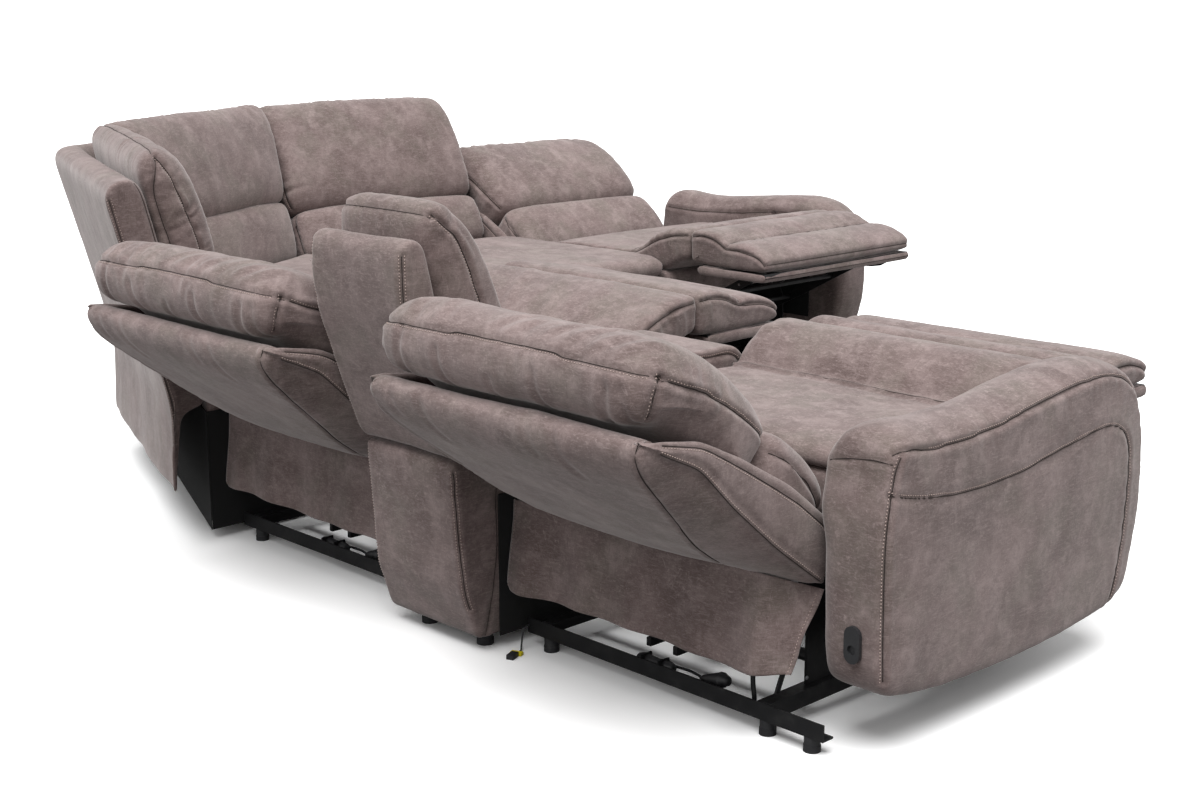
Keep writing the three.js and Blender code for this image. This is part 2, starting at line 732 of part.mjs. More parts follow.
// Armless seat, fixed, with the same cushions leaning back less
function armlessSeat(width) {
  const group = new THREE.Group();
  const depth = shellDepth + backFront;
  const lean = (outline) => leaned(outline, armlessY, armlessZ, armlessLean);
  const shell = panelShell(lean(
    outlineFrom(uprightShellShares, -shellDepth, uprightShellBottom, depth, armlessShellTop - uprightShellBottom),
  ), armlessPanelFoot);
  const rear = -shellDepth + depth * uprightShellShares[0][0] + touchGap;
  const frames = straight(moduleGap, width - moduleGap);
  const lumbarStart = lumbarBottom * 2;
  const lumbar = lean(outlineFrom(
    plainLumbarShares, rear, lumbarStart, backFront - rear, armlessLumbarTop - lumbarStart,
  ));
  const upper = lean(outlineFrom(
    uprightCushionShares, rear, armlessLumbarTop + touchGap, backFront - rear, armlessTop - armlessLumbarTop,
  ));
  const boxRear = shell[1][0] + touchGap;
  const seatStart = seatRear / 2;
  const seat = outlineFrom(boxShares, seatStart, boxTop + touchGap, armlessFront - seatStart, wedgeSeatTop - boxTop);
  const crowned = seat.map(([y, z]) => [y, z, z > boxTop + touchGap ? 1 : 0]);
  group.add(
    part('armless_back_shell', plate(shell, moduleGap, width - moduleGap), fabric()),
    part('armless_upper_cushion', padded(upper, ...frames, backRound, backCrown), fabric()),
    part('armless_lumbar_cushion', padded(lumbar, ...frames, backRound, backCrown), fabric()),
    part('armless_base', seatBox(width, boxRear, armlessFront), fabric()),
    part('armless_seat_cushion', padded(crowned, ...frames, seatRound, seatCrown), fabric()),
  );
  return group;
}

// Where two lines cross, each given by a point and a direction
function crossing([px, py], [dx, dy], [qx, qy], [ex, ey]) {
  const along = ((qx - px) * ey - (qy - py) * ex) / (dx * ey - dy * ex);
  return [px + dx * along, py + dy * along];
}

// Corner wedge: two rear faces that meet at the corner, a seat between them and a fold of cushions on each
function wedge() {
  const near = [wedgeWidth - moduleGap, 0];
  const far = [-wedgeBackset, wedgeWidth - moduleGap];
  const corner = [cornerX, cornerY];
  const nearRun = [corner[0] - near[0], corner[1] - near[1]];
  const farRun = [far[0] - corner[0], far[1] - corner[1]];
  const moved = (step) => crossing([near[0], near[1] + step], nearRun, [far[0] + step, far[1]], farRun);
  const [mx, my] = moved(1);
  const [ox, oy] = moved(0);
  const mitre = { origin: [ox, oy], forward: [mx - ox, my - oy] };
  const nearEnd = { origin: near, forward: [0, 1] };
  const farEnd = { origin: far, forward: [1, 0] };
  const short = (end, gap) => {
    const run = new THREE.Vector2(end.origin[0] - ox, end.origin[1] - oy);
    const step = run.clone().setLength(gap);
    return { origin: [ox + step.x, oy + step.y], forward: mitre.forward };
  };
  const depth = shellDepth + backFront;
  const lean = (outline) => leaned(outline, uprightY, uprightZ, uprightLean);
  const shellOutline = panelShell(lean(
    outlineFrom(uprightShellShares, -shellDepth, uprightShellBottom, depth, uprightShellTop - uprightShellBottom),
  ), 0);
  const rear = -shellDepth + depth * uprightShellShares[0][0] + touchGap;
  const cushionBottom = 2 * lumbarBottom;
  const cushion = lean(outlineFrom(
    wedgeCushionShares, rear, cushionBottom, backFront - rear, uprightTop - cushionBottom,
  ));
  const shellHalf = (end) => {
    const ring = ({ origin, forward }) => shellOutline.map(
      ([y, z]) => new THREE.Vector3(origin[0] + forward[0] * y, origin[1] + forward[1] * y, z),
    );
    return skinned([ring(end), ring(mitre)], shellOutline);
  };
  const inFrame = ({ origin, forward }, y) => new THREE.Vector2(origin[0] + forward[0] * y, origin[1] + forward[1] * y);
  const nose = wedgeFront + (wedgeWidth - wedgeFront) * wedgeFrontShare;
  const plan = (y, inset) => [
    inFrame(nearEnd, y), new THREE.Vector2(near[0], wedgeFront - inset),
    new THREE.Vector2(nose - inset, nose - inset),
    new THREE.Vector2(wedgeFront - inset, far[1]), inFrame(farEnd, y), inFrame(mitre, y),
  ];
  const slab = (outline, z0, z1) => {
    const body = new THREE.ExtrudeGeometry(new THREE.Shape(outline), { depth: z1 - z0, bevelEnabled: false });
    return body.translate(0, 0, z0);
  };
  const boxPlan = plan(shellOutline[1][0] + touchGap, 0);
  const feet = boxPlan.map((point) => {
    const middle = boxPlan.reduce((sum, each) => sum.clone().add(each)).divideScalar(boxPlan.length);
    const spot = point.clone().lerp(middle, plateInset / point.distanceTo(middle) * 2);
    return foot(spot.x, spot.y, boxBottom + railWall);
  });
  const seatPlan = plan(wedgeSeatRear, 0);
  const seatNormals = outlineNormals(seatPlan.map(({ x, y }) => [x, y]));
  const seatBottomZ = boxTop + touchGap;
  const seatThickness = wedgeSeatTop - seatBottomZ;
  const seatSteps = [
    [seatRound / 3, 0], [0, seatThickness / 3], [seatRound / 3, 2 * seatThickness / 3], [seatRound, seatThickness],
  ];
  const seatRings = seatSteps.map(([inset, rise]) => seatPlan.map(({ x, y }, k) => new THREE.Vector3(
    x - seatNormals[k][0] * inset, y - seatNormals[k][1] * inset, seatBottomZ + rise,
  )));
  const pillow = (end) => padded(cushion, end, short(end, moduleGap), backRound, backCrown);
  const group = new THREE.Group();
  group.add(
    part('wedge_base', geometryOf(joined([slab(boxPlan, boxBottom, boxTop), ...feet])), fabric()),
    part('wedge_seat_cushion', skinned(seatRings, seatPlan.map(({ x, y }) => [x, y])), fabric()),
    part('wedge_back_shell', geometryOf(joined([shellHalf(nearEnd), shellHalf(farEnd)])), fabric()),
    part('wedge_near_back_cushion', pillow(nearEnd), fabric()),
    part('wedge_far_back_cushion', pillow(farEnd), fabric()),
  );
  return group;
}

// Narrow console between two recliners, with a backrest of its own
function consoleModule(width) {
  const group = new THREE.Group();
  const body = [
    [consoleRear + consoleLedge, boxBottom], [consoleFront, boxBottom], [consoleFront, consoleTop - boxRound],
    [consoleFront - boxRound, consoleTop], [consoleShellThickness + touchGap, consoleTop],
    [consoleShellThickness + touchGap, consoleShellBottom - touchGap], [0, consoleShellBottom - touchGap],
    [consoleRear, boxBottom + 2 * consoleLedge],
  ];
  const feet = [plateInset, width - plateInset]
    .flatMap((x) => [plateInset + boxRound, consoleFront - plateInset].map((y) => foot(x, y, boxBottom + railWall)));
  const top = -consoleShellRear;
  const shell = [
    [0, consoleShellBottom], [consoleShellThickness, consoleShellBottom],
    [top + consoleShellThickness, consoleShellTop - consoleRound], [top + 2 * consoleRound, consoleShellTop],
    [top + consoleRound, consoleShellTop], [top, consoleShellTop - consoleRound],
    [top, consoleShellTop - consoleShellSlope],
  ];
  const cushionRear = top + consoleShellThickness;
  const slant = (outline) => outline.map(([y, z, swell]) => {
    const down = (consoleShellTop - consoleRound - z) / (consoleShellTop - consoleRound - consoleShellBottom);
    return [y + consoleShellRear * Math.max(0, down) + touchGap * 4, z, swell];
  });
  const cushion = slant(outlineFrom(
    consoleCushionShares, cushionRear, consoleTop + touchGap, consoleCushionDepth, consoleCushionTop - consoleTop,
  ));
  const frames = straight(moduleGap, width - moduleGap);
  group.add(
    part('console_body', geometryOf(joined([plate(body, moduleGap, width - moduleGap), ...feet])), fabric()),
    part('console_back_shell', plate(shell, moduleGap, width - moduleGap), fabric()),
    part('console_back_cushion', padded(cushion, ...frames, consoleRound, backCrown / 2), fabric()),
  );
  return group;
}

// Low-voltage lead that drops from the rear bar to the floor, with its tag and its connector
function lead() {
  const group = new THREE.Group();
  const route = new THREE.CatmullRomCurve3(leadPoints.map((point) => new THREE.Vector3(...point)));
  const section = new THREE.Shape(Array.from({ length: 8 }, (_, k) => {
    const turn = 2 * Math.PI * k / 8;
    return new THREE.Vector2(Math.cos(turn) * leadRadius, Math.sin(turn) * leadRadius);
  }));
  const tube = new THREE.ExtrudeGeometry(section, { steps: 12, extrudePath: route, bevelEnabled: false });
  const end = new THREE.Vector3(...leadPoints[leadPoints.length - 1]);
  const run = route.getTangent(1);
  const along = (length, width, height, start) => {
    const box = new THREE.BoxGeometry(length, width, height);
    box.rotateZ(Math.atan2(run.y, run.x));
    const middle = end.clone().addScaledVector(run, start + length / 2);
    return box.translate(middle.x, middle.y, height / 2);
  };
  const tag = along(tagLength, tagWidth, 2 * leadRadius + tagThickness, touchGap);
  const plug = along(connectorLength, connectorWidth, connectorHeight, tagLength + 2 * touchGap);
  group.add(
    part('lead', tube, plastic()),
    part('lead_tag', tag, yellow()),
    part('lead_connector', plug, plastic()),
  );
  return group;
}

// Leg one runs along +X and faces +Y. Leg two is turned to run along +Y and face +X
const sofa = new THREE.Group();
const middle = recliner('middle', middleWidth, 0);
middle.position.x = wedgeWidth;
const narrow = consoleModule(consoleWidth);
narrow.position.x = wedgeWidth + middleWidth;
const near = recliner('near', nearWidth, 1);
near.position.x = wedgeWidth + middleWidth + consoleWidth;
near.add(part('near_power_socket', powerSocket(nearWidth), plastic()));
const legTwo = new THREE.Group();
legTwo.rotation.z = -Math.PI / 2;
const armless = armlessSeat(armlessWidth);
armless.position.x = -wedgeWidth - armlessWidth;
const far = recliner('far', farWidth, -1);
far.position.x = -wedgeWidth - armlessWidth - farWidth;
legTwo.add(armless, far);
sofa.add(wedge(), middle, narrow, near, legTwo);

// The origin is on the floor under the middle of the sofa's box, and the lead is placed after it is found
sofa.updateMatrixWorld(true);
const bounds = new THREE.Box3().setFromObject(sofa, true);
const centre = bounds.getCenter(new THREE.Vector3());
near.add(lead());
const root = new THREE.Group();
sofa.position.set(-centre.x, -centre.y, -bounds.min.z);
root.add(sofa);

export default root;
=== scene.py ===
import math

import bmesh
import bpy
import numpy as np
from mathutils import Matrix, Vector
from mathutils.bvhtree import BVHTree


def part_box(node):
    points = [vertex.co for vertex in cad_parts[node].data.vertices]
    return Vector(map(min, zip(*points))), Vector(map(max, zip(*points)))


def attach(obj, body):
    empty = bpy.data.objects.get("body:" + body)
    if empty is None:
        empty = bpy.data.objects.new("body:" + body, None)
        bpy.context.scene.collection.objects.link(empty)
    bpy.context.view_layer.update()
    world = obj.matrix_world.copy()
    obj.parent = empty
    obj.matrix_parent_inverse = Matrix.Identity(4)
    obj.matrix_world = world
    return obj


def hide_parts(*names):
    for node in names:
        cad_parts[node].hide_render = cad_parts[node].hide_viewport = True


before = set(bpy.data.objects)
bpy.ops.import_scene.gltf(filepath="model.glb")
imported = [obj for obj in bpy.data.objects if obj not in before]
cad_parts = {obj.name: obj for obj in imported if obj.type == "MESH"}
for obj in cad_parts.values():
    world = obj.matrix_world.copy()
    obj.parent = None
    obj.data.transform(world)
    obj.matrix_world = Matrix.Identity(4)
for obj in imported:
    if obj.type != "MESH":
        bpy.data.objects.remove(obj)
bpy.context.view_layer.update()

# Sizes that this script shares with the solids, in metres
WEDGE_WIDTH = 1.156
MIDDLE_WIDTH = 0.769
CONSOLE_WIDTH = 0.302
NEAR_WIDTH = 0.760
ARMLESS_WIDTH = 0.784
FAR_WIDTH = 0.760
ARM_WIDTH = 0.158
GAP = 0.004
TOUCH = 0.0003
SEAT_REAR = 0.388
PIVOT = (0.282, 0.336)
RECLINED_LEAN = 48
SHELL_DEPTH = 0.132
SHELL_TOP = 0.574
BACK_FRONT = 0.112
LUMBAR_BOTTOM = 0.062
LUMBAR_TOP = 0.276
BACK_TOP = 0.634
WING_WIDTH = 0.034
ARM_REAR = 0.205
WEDGE_CORNER = (0.228, 0.378)
WEDGE_BACKSET = 0.160
WEDGE_FRONT = 0.970
BOX_TOP = 0.440
BOX_BOTTOM = 0.030
WEDGE_SEAT_TOP = 0.505
UPRIGHT_LEAN = (15, 0.150, 0.320)
ARMLESS_LEAN = (24, 0.059, 0.327)
ARMLESS_FRONT = 0.968
PANEL_BOTTOM = 0.130
CONSOLE_FRONT = 0.900
CONSOLE_TOP = 0.548

# Light of the studio
SKY = 0.78
SUN = 3.9
SUN_WAY = (-0.22, 0.30, -1.0)
FLOOR_BOUNCE = 0.19
FLOOR_SHADE = 1.10

# How fine the cloth is made, and the usual seam
SPACING = 0.0134
SEAM_DEPTH = 0.0045
SEAM_WIDTH = 0.0055
# Radius of the dark tube laid in each seam groove as its painted shadow line
SEAM_SHADOW_RADIUS = 0.0010
STITCH_PITCH = 0.0064
STITCH_LENGTH = 0.0022
STITCH_THICKNESS = 0.0011
STITCH_OFFSET = 0.0055


def lerp(a, b, t):
    return a + (b - a) * t


class Module:
    """A module's own place: its x runs across the seat, its y forward and its z up."""

    def __init__(self, prefix, width, x, y, turned=False, side=0):
        self.prefix = prefix
        self.width = width
        self.side = side
        self.matrix = Matrix.Translation((x, y, 0)) @ Matrix.Rotation(-math.pi / 2 * turned, 4, "Z")

    def body(self, part):
        return f"{self.prefix}_{part}_body"

    def row(self, points):
        m = np.array(self.matrix)
        return np.asarray(points, float) @ m[:3, :3].T + m[:3, 3]


def find_modules():
    """Modules placed from the frame's own boxes, so that nothing is fitted by hand."""
    def leg_one(prefix, width, side):
        low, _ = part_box(f"{prefix}_seat_cushion")
        return Module(prefix, width, low.x - GAP, low.y - SEAT_REAR, False, side)

    low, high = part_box("far_seat_cushion")
    far = Module("far", FAR_WIDTH, low.x - SEAT_REAR, high.y + GAP, True, -1)
    _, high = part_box("armless_base")
    armless = Module("armless", ARMLESS_WIDTH, high.x - ARMLESS_FRONT, high.y + GAP, True)
    low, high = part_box("console_body")
    console = Module("console", CONSOLE_WIDTH, low.x - GAP, high.y - CONSOLE_FRONT)
    _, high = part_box("wedge_base")
    wedge = Module("wedge", WEDGE_WIDTH, high.x - WEDGE_WIDTH + GAP, high.y - WEDGE_WIDTH + GAP)
    return leg_one("near", NEAR_WIDTH, 1), leg_one("middle", MIDDLE_WIDTH, 0), far, armless, console, wedge


near, middle, far, armless, console, wedge = find_modules()
recliners = [near, middle, far]


# Smooth noise in numpy, the same on each run
def lattice(ix, iy, iz, seed):
    h = ix * 374761393 + iy * 668265263 + iz * 2147483647 + seed * 974711
    h = (h ^ (h >> 13)) * 1274126177
    return ((h ^ (h >> 16)) & 65535) / 32767.5 - 1.0


def noise(points, scale, seed=0):
    """Value noise from -1 to 1 at points, whose blotches are about scale metres across."""
    p = np.asarray(points, float) / scale + 100.0
    base = np.floor(p).astype(np.int64)
    f = p - base
    f = f * f * (3 - 2 * f)
    total = np.zeros(len(p))
    for dx in (0, 1):
        for dy in (0, 1):
            for dz in (0, 1):
                weight = (
                    (f[:, 0] if dx else 1 - f[:, 0])
                    * (f[:, 1] if dy else 1 - f[:, 1])
                    * (f[:, 2] if dz else 1 - f[:, 2])
                )
                total += weight * lattice(base[:, 0] + dx, base[:, 1] + dy, base[:, 2] + dz, seed)
    return total


# Outlines, as closed loops of forward and up values
def evenly(loop):
    """A closed polyline with its points put at even steps, an even number of them."""
    closed = np.vstack([loop, loop[:1]])
    steps = np.linalg.norm(np.diff(closed, axis=0), axis=1)
    at = np.concatenate([[0], np.cumsum(steps)])
    count = max(12, 2 * int(round(at[-1] / SPACING / 2)))
    where = np.linspace(0, at[-1], count, endpoint=False)
    return np.stack([np.interp(where, at, closed[:, k]) for k in range(closed.shape[1])], axis=1)


def between(a, b, c, d, t):
    """The place at share t between b and c, on a smooth curve through all four points."""
    bend = (2 * a - 5 * b + 4 * c - d) * t ** 2
    swing = (3 * b - a - 3 * c + d) * t ** 3
    return 0.5 * (2 * b + (c - a) * t + bend + swing)


def flowing(points):
    """A smooth closed curve through the points."""
    p = np.asarray(points, float)
    n = len(p)
    out = []
    for i in range(n):
        a, b, c, d = p[i - 1], p[i], p[(i + 1) % n], p[(i + 2) % n]
        for t in np.linspace(0, 1, 12, endpoint=False):
            out.append(between(a, b, c, d, t))
    return evenly(np.array(out))


def cornered(points):
    """A closed outline of straight runs whose corners, given as y, z and radius, are rounded."""
    p = [np.array(q[:2], float) for q in points]
    out = []
    for i, corner in enumerate(p):
        before, after, radius = p[i - 1], p[(i + 1) % len(p)], points[i][2]
        u, v = before - corner, after - corner
        reach = min(radius, np.linalg.norm(u) * 0.48, np.linalg.norm(v) * 0.48)
        start = corner + u / np.linalg.norm(u) * reach
        end = corner + v / np.linalg.norm(v) * reach
        for t in np.linspace(0, 1, 7):
            out.append((1 - t) ** 2 * start + 2 * t * (1 - t) * corner + t ** 2 * end)
    return evenly(np.array(out))


def leaned(points, lean, y0, z0):
    """Points of a leaning back, turned about its own origin into forward and up values."""
    a = math.radians(lean)
    p = np.array(points, float)
    out = p.copy()
    out[:, 0] = y0 + p[:, 0] * math.cos(a) - p[:, 1] * math.sin(a)
    out[:, 1] = z0 + p[:, 0] * math.sin(a) + p[:, 1] * math.cos(a)
    return out


def reclined(points):
    return leaned(points, RECLINED_LEAN, *PIVOT)


def shared(shares, y0, z0, depth, height):
    return [(y0 + a * depth, z0 + b * height, *rest) for a, b, *rest in shares]


def outline_normals(loop):
    run = np.roll(loop, -1, axis=0) - np.roll(loop, 1, axis=0)
    run /= np.linalg.norm(run, axis=1)[:, None] + 1e-12
    area = np.sum(loop[:, 0] * np.roll(loop[:, 1], -1) - np.roll(loop[:, 0], -1) * loop[:, 1])
    return np.stack([run[:, 1], -run[:, 0]], axis=1) * (1 if area > 0 else -1)


def straight(x0, x1):
    """The run of a body that goes straight across, as two frames of an origin and a forward direction."""
    return [((x0, 0), (0, 1)), ((x1, 0), (0, 1))]


def run_between(frames):
    """The place and the forward direction at a distance along a run of frames, and the run's length."""
    origins = [np.array(o, float) for o, _ in frames]
    forwards = [np.array(f, float) for _, f in frames]
    lengths = [np.linalg.norm(b - a) for a, b in zip(origins, origins[1:])]
    marks = np.concatenate([[0], np.cumsum(lengths)])

    def at(distance):
        inside = min(max(distance, 0), marks[-1])
        i = min(int(np.searchsorted(marks, inside, side="right")) - 1, len(lengths) - 1)
        t = (inside - marks[i]) / lengths[i]
        along = (origins[i + 1] - origins[i]) / lengths[i]
        origin = lerp(origins[i], origins[i + 1], t) + along * (distance - inside)
        return origin, lerp(forwards[i], forwards[i + 1], t)

    return at, marks[-1]


def drawn_in(loop, k):
    """A cap's ring: the outline drawn towards the line that runs through its middle."""
    chain = (loop + loop[(-np.arange(len(loop))) % len(loop)]) / 2
    return lerp(loop, lerp(chain, loop.mean(axis=0), 0.22), k)


# Shares by which a cap's rings are drawn in, from its middle out to its edge
CAP_RINGS = (1.0, 0.82, 0.64, 0.47, 0.32, 0.19, 0.08)


def padded_grid(loop, frames, end_round, crown, bulge, weight=None, sway=None):
    """Rings of a stuffed body: an outline carried through frames, drawn in and capped at both ends."""
    normals = outline_normals(loop)
    count = len(loop)
    weight = np.ones(count) if weight is None else weight
    at, total = run_between(frames)
    start = [(-bulge * (1 - (1 - k) ** 2), end_round, k) for k in CAP_RINGS]
    for t in np.radians(range(0, 91, 18)):
        start.append((end_round * (1 - math.cos(t)), end_round * (1 - math.sin(t)), 0))
    steps = np.linspace(end_round, total - end_round, max(4, int((total - 2 * end_round) / SPACING)))
    rings = start + [(d, 0, 0) for d in steps[1:-1]]
    rings += [(total - d, inset, k) for d, inset, k in reversed(start)]
    grid = []
    for distance, inset, k in rings:
        share = min(max(distance / total, 0), 1)
        swell = crown * (1 - (2 * share - 1) ** 4) if inset == 0 else 0.0
        flat = loop + normals * (swell * weight - inset)[:, None]
        if k > 0:
            flat = drawn_in(loop - normals * inset, k)
        if sway:
            flat = sway(min(max(distance, 0), total), flat)
        origin, forward = at(distance)
        grid.append(np.column_stack([origin + forward * flat[:, :1], flat[:, 1]]))
    return np.array(grid)


def mesh_from_grid(name, grid, module, closed=True):
    """A mesh from rings of points, its collapsed ends closed, in the row's frame."""
    rings, count = grid.shape[:2]
    points = module.row(grid.reshape(-1, 3))
    faces = []
    for r in range(rings - 1):
        for c in range(count if closed else count - 1):
            d = (c + 1) % count
            faces.append((r * count + c, r * count + d, (r + 1) * count + d, (r + 1) * count + c))
    mesh = bpy.data.meshes.new(name)
    mesh.from_pydata(points.tolist(), [], faces)
    tidy_mesh(mesh)
    obj = bpy.data.objects.new(name, mesh)
    bpy.context.scene.collection.objects.link(obj)
    return obj


def tidy_mesh(mesh, apart=0.0002):
    bm = bmesh.new()
    bm.from_mesh(mesh)
    bmesh.ops.remove_doubles(bm, verts=bm.verts, dist=apart)
    bmesh.ops.dissolve_degenerate(bm, edges=bm.edges, dist=1e-6)
    bmesh.ops.recalc_face_normals(bm, faces=bm.faces)
    bm.to_mesh(mesh)
    bm.free()
    mesh.shade_smooth()
    mesh.update()


def corners_of(mesh):
    co = np.zeros(len(mesh.vertices) * 3)
    mesh.vertices.foreach_get("co", co)
    no = np.zeros(len(mesh.vertices) * 3)
    mesh.vertices.foreach_get("normal", no)
    return co.reshape(-1, 3), no.reshape(-1, 3)


def relaxed(mesh, rounds):
    """Evens a closed mesh out, so that its caps and corners have no ridges."""
    co, _ = corners_of(mesh)
    edges = np.zeros(len(mesh.edges) * 2, dtype=np.int32)
    mesh.edges.foreach_get("vertices", edges)
    a, b = edges.reshape(-1, 2).T
    ends, others = np.concatenate([a, b]), np.concatenate([b, a])
    count = np.bincount(ends, minlength=len(co))[:, None]
    for _ in range(rounds):
        around = np.stack([np.bincount(ends, co[others, k], len(co)) for k in range(3)], axis=1) / count
        co += 0.5 * (around - co)
    mesh.vertices.foreach_set("co", co.ravel())
    mesh.update()


def surface_of(mesh):
    return BVHTree.FromPolygons([v.co for v in mesh.vertices], [p.vertices for p in mesh.polygons])


def resampled(line, step):
    line = np.asarray(line, float)
    at = np.concatenate([[0], np.cumsum(np.linalg.norm(np.diff(line, axis=0), axis=1))])
    where = np.linspace(0, at[-1], max(2, int(at[-1] / step)))
    return np.stack([np.interp(where, at, line[:, k]) for k in range(3)], axis=1)


def laid(tree, line, step, lift=0.0, side=0.0):
    """A line brought onto a surface, or beside it by side, without its jumps and doubled-back ends."""
    line = resampled(line, step)
    spots = []
    for k, p in enumerate(line):
        spot, normal, _, _ = tree.find_nearest(Vector(p))
        if side:
            run = Vector(line[min(k + 1, len(line) - 1)] - line[max(k - 1, 0)]).normalized()
            spot, normal, _, _ = tree.find_nearest(spot + run.cross(normal).normalized() * side)
        spots.append(np.array(spot + normal * lift))
    runs, run, left_out = [], [spots[0]], 0
    for spot in spots[1:]:
        ahead = spot - run[-1]
        length = np.linalg.norm(ahead)
        if length < 0.35 * step:
            continue
        back = run[-1] - run[-2] if len(run) > 1 else ahead
        turned = ahead @ back < 0.2 * length * np.linalg.norm(back)
        if turned and left_out < 5:
            left_out += 1
            continue
        if turned or length > 7 * step:
            runs.append(run)
            run = []
        left_out = 0
        run.append(spot)
    best = np.array(max(runs + [run], key=len))
    for _ in range(6):
        best[1:-1] = 0.25 * best[:-2] + 0.5 * best[1:-1] + 0.25 * best[2:]
    return best


# Seams, gathers and the softness of the cloth
class Seam:
    """A sewn line or a crease near a piece's surface, in the module's own frame."""

    def __init__(self, points, depth=SEAM_DEPTH, width=SEAM_WIDTH, gather=0.0, reach=0.05, pitch=0.02,
                 stitch=0, lip=0.0012, sewn=True):
        self.points = np.asarray(points, float)
        self.depth, self.width, self.gather, self.reach = depth, width, gather, reach
        self.pitch, self.stitch, self.lip, self.sewn = pitch, stitch, lip, sewn


def crease(points, depth=0.004, width=0.009):
    """A dent in the cloth with no seam in it."""
    return Seam(points, depth=depth, width=width, lip=depth * 0.45, sewn=False)


def to_line(points, line):
    """Each point's distance to a polyline, and how far along the line the nearest place is."""
    best = np.full(len(points), 1e9)
    along = np.zeros(len(points))
    done = 0.0
    for a, b in zip(line, line[1:]):
        run = b - a
        length = np.linalg.norm(run)
        if length < 1e-9:
            continue
        t = np.clip((points - a) @ run / length ** 2, 0, 1)
        d = np.linalg.norm(points - (a + t[:, None] * run), axis=1)
        closer = d < best
        best[closer] = d[closer]
        along[closer] = done + t[closer] * length
        done += length
    return best, along


def drape(obj, module, seams=(), sag=0.0025, sag_scale=0.16, ripple=0.0007, ripple_scale=0.035, seed=0,
          folds=()):
    """Gives a smooth mesh its sewn lines, gathers, folds and soft unevenness, and marks painted shade along its
    sewn lines.
    """
    mesh = obj.data
    co, no = corners_of(mesh)
    push = sag * noise(co, sag_scale, seed) + ripple * noise(co, ripple_scale, seed + 1)
    # Painted shade along sewn lines, kept for the suede to darken its colour there
    seam_shade = np.zeros(len(co))
    tree = surface_of(mesh)
    lines = [laid(tree, module.row(seam.points), 0.008) for seam in seams]
    for i, (seam, line) in enumerate(zip(seams, lines)):
        if len(line) < 2:
            continue
        d, a = to_line(co, line)
        close = d < max(6 * seam.width, 4 * seam.reach * (seam.gather > 0))
        dc, ac = d[close], a[close]
        add = -seam.depth * np.exp(-(dc / seam.width) ** 2)
        add += seam.lip * np.exp(-((dc - 2.4 * seam.width) / (1.3 * seam.width)) ** 2)
        if seam.gather:
            along = ac / seam.pitch
            sample = np.column_stack([along, dc / 0.09, np.full(len(ac), i + 0.5)])
            wave = 0.55 - 2.0 * np.abs(noise(sample, 1.0, seed + 7 + i))
            wave += 0.5 * noise(sample * 2.3, 1.0, seed + 31)
            patchy = 0.55 + 0.45 * noise(np.column_stack([ac / 0.11, dc * 0, dc * 0]), 1.0, seed + 3 + i)
            fade = np.clip(np.minimum(ac, a.max() - ac) / 0.025, 0, 1)
            beside = np.exp(-dc / seam.reach) * (1 - np.exp(-(dc / 0.007) ** 2))
            add += seam.gather * fade * wave * patchy * beside
        push[close] += add
        # Sewn lines get painted shade in their grooves
        if seam.sewn:
            seam_shade[close] = np.maximum(seam_shade[close], np.exp(-(dc / (0.9 * seam.width)) ** 2))
    for line, height, width in folds:
        d, a = to_line(co, module.row(line))
        length = a.max() + 1e-9
        push += height * np.exp(-(d / width) ** 2) * np.sin(np.pi * np.clip(a / length, 0.02, 0.98)) ** 0.5
    co = co + no * push[:, None]
    mesh.vertices.foreach_set("co", co.ravel())
    # The seam attribute carries this painted seam shade to the material
    attribute = mesh.attributes.new("seam", "FLOAT", "POINT")
    attribute.data.foreach_set("value", seam_shade)
    mesh.update()
    sew(obj, [(seam, line) for seam, line in zip(seams, lines) if seam.sewn and len(line) > 2])


stitch_paths = {}
# Lines of the dark tubes laid in the seams as painted shade, kept body by body
seam_shadow_paths = {}


def sew(obj, seams):
    """Lays the painted shadow line of each seam and its top stitching on the finished surface, kept body by body.
    """
    tree = surface_of(obj.data)
    for seam, line in seams:
        seam_shadow_paths.setdefault(obj["stitch_body"], []).append(laid(tree, line, 0.004, 0.0002))
        for side in {0: [], 2: [1, -1]}.get(seam.stitch, [seam.stitch]):
            path = laid(tree, line, 0.004, 0.0006, STITCH_OFFSET * side)
            if len(path) > 3:
                stitch_paths.setdefault(obj["stitch_body"], []).append(path)


def finished(obj, body, material, nodes=()):
    """Every soft piece's last step: its material, what it replaces and the body that carries it."""
    obj.data.materials.clear()
    obj.data.materials.append(material)
    if nodes:
        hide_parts(*nodes)
    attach(obj, body)
    return obj


def finer(obj):
    """One smooth subdivision, so that seams and creases have points to form in."""
    smooth = obj.modifiers.new("finer", "SUBSURF")
    smooth.levels = smooth.render_levels = 1
    smooth.boundary_smooth = "PRESERVE_CORNERS"
    applied(obj)


def cushion(name, module, loop, frames, body, nodes=(), seams=(), end_round=0.025, crown=0.01, bulge=0.008,
            weight=None, folds=(), sag=0.0025, seed=0, sway=None, fine=True, rounds=5):
    grid = padded_grid(loop, frames, end_round, crown, bulge, weight, sway)
    obj = mesh_from_grid(name, grid, module)
    obj["stitch_body"] = body
    relaxed(obj.data, rounds)
    if fine:
        finer(obj)
    drape(obj, module, seams, sag=sag, seed=seed, folds=folds)
    return finished(obj, body, suede, nodes)


# Shader groups that more than one finish uses
def new_group(name, inputs, outputs):
    tree = bpy.data.node_groups.new(name, "ShaderNodeTree")
    for label, kind, value in inputs:
        socket = tree.interface.new_socket(label, in_out="INPUT", socket_type=kind)
        socket.default_value = value
    for label, kind in outputs:
        tree.interface.new_socket(label, in_out="OUTPUT", socket_type=kind)
    return tree, tree.nodes.new("NodeGroupInput"), tree.nodes.new("NodeGroupOutput")


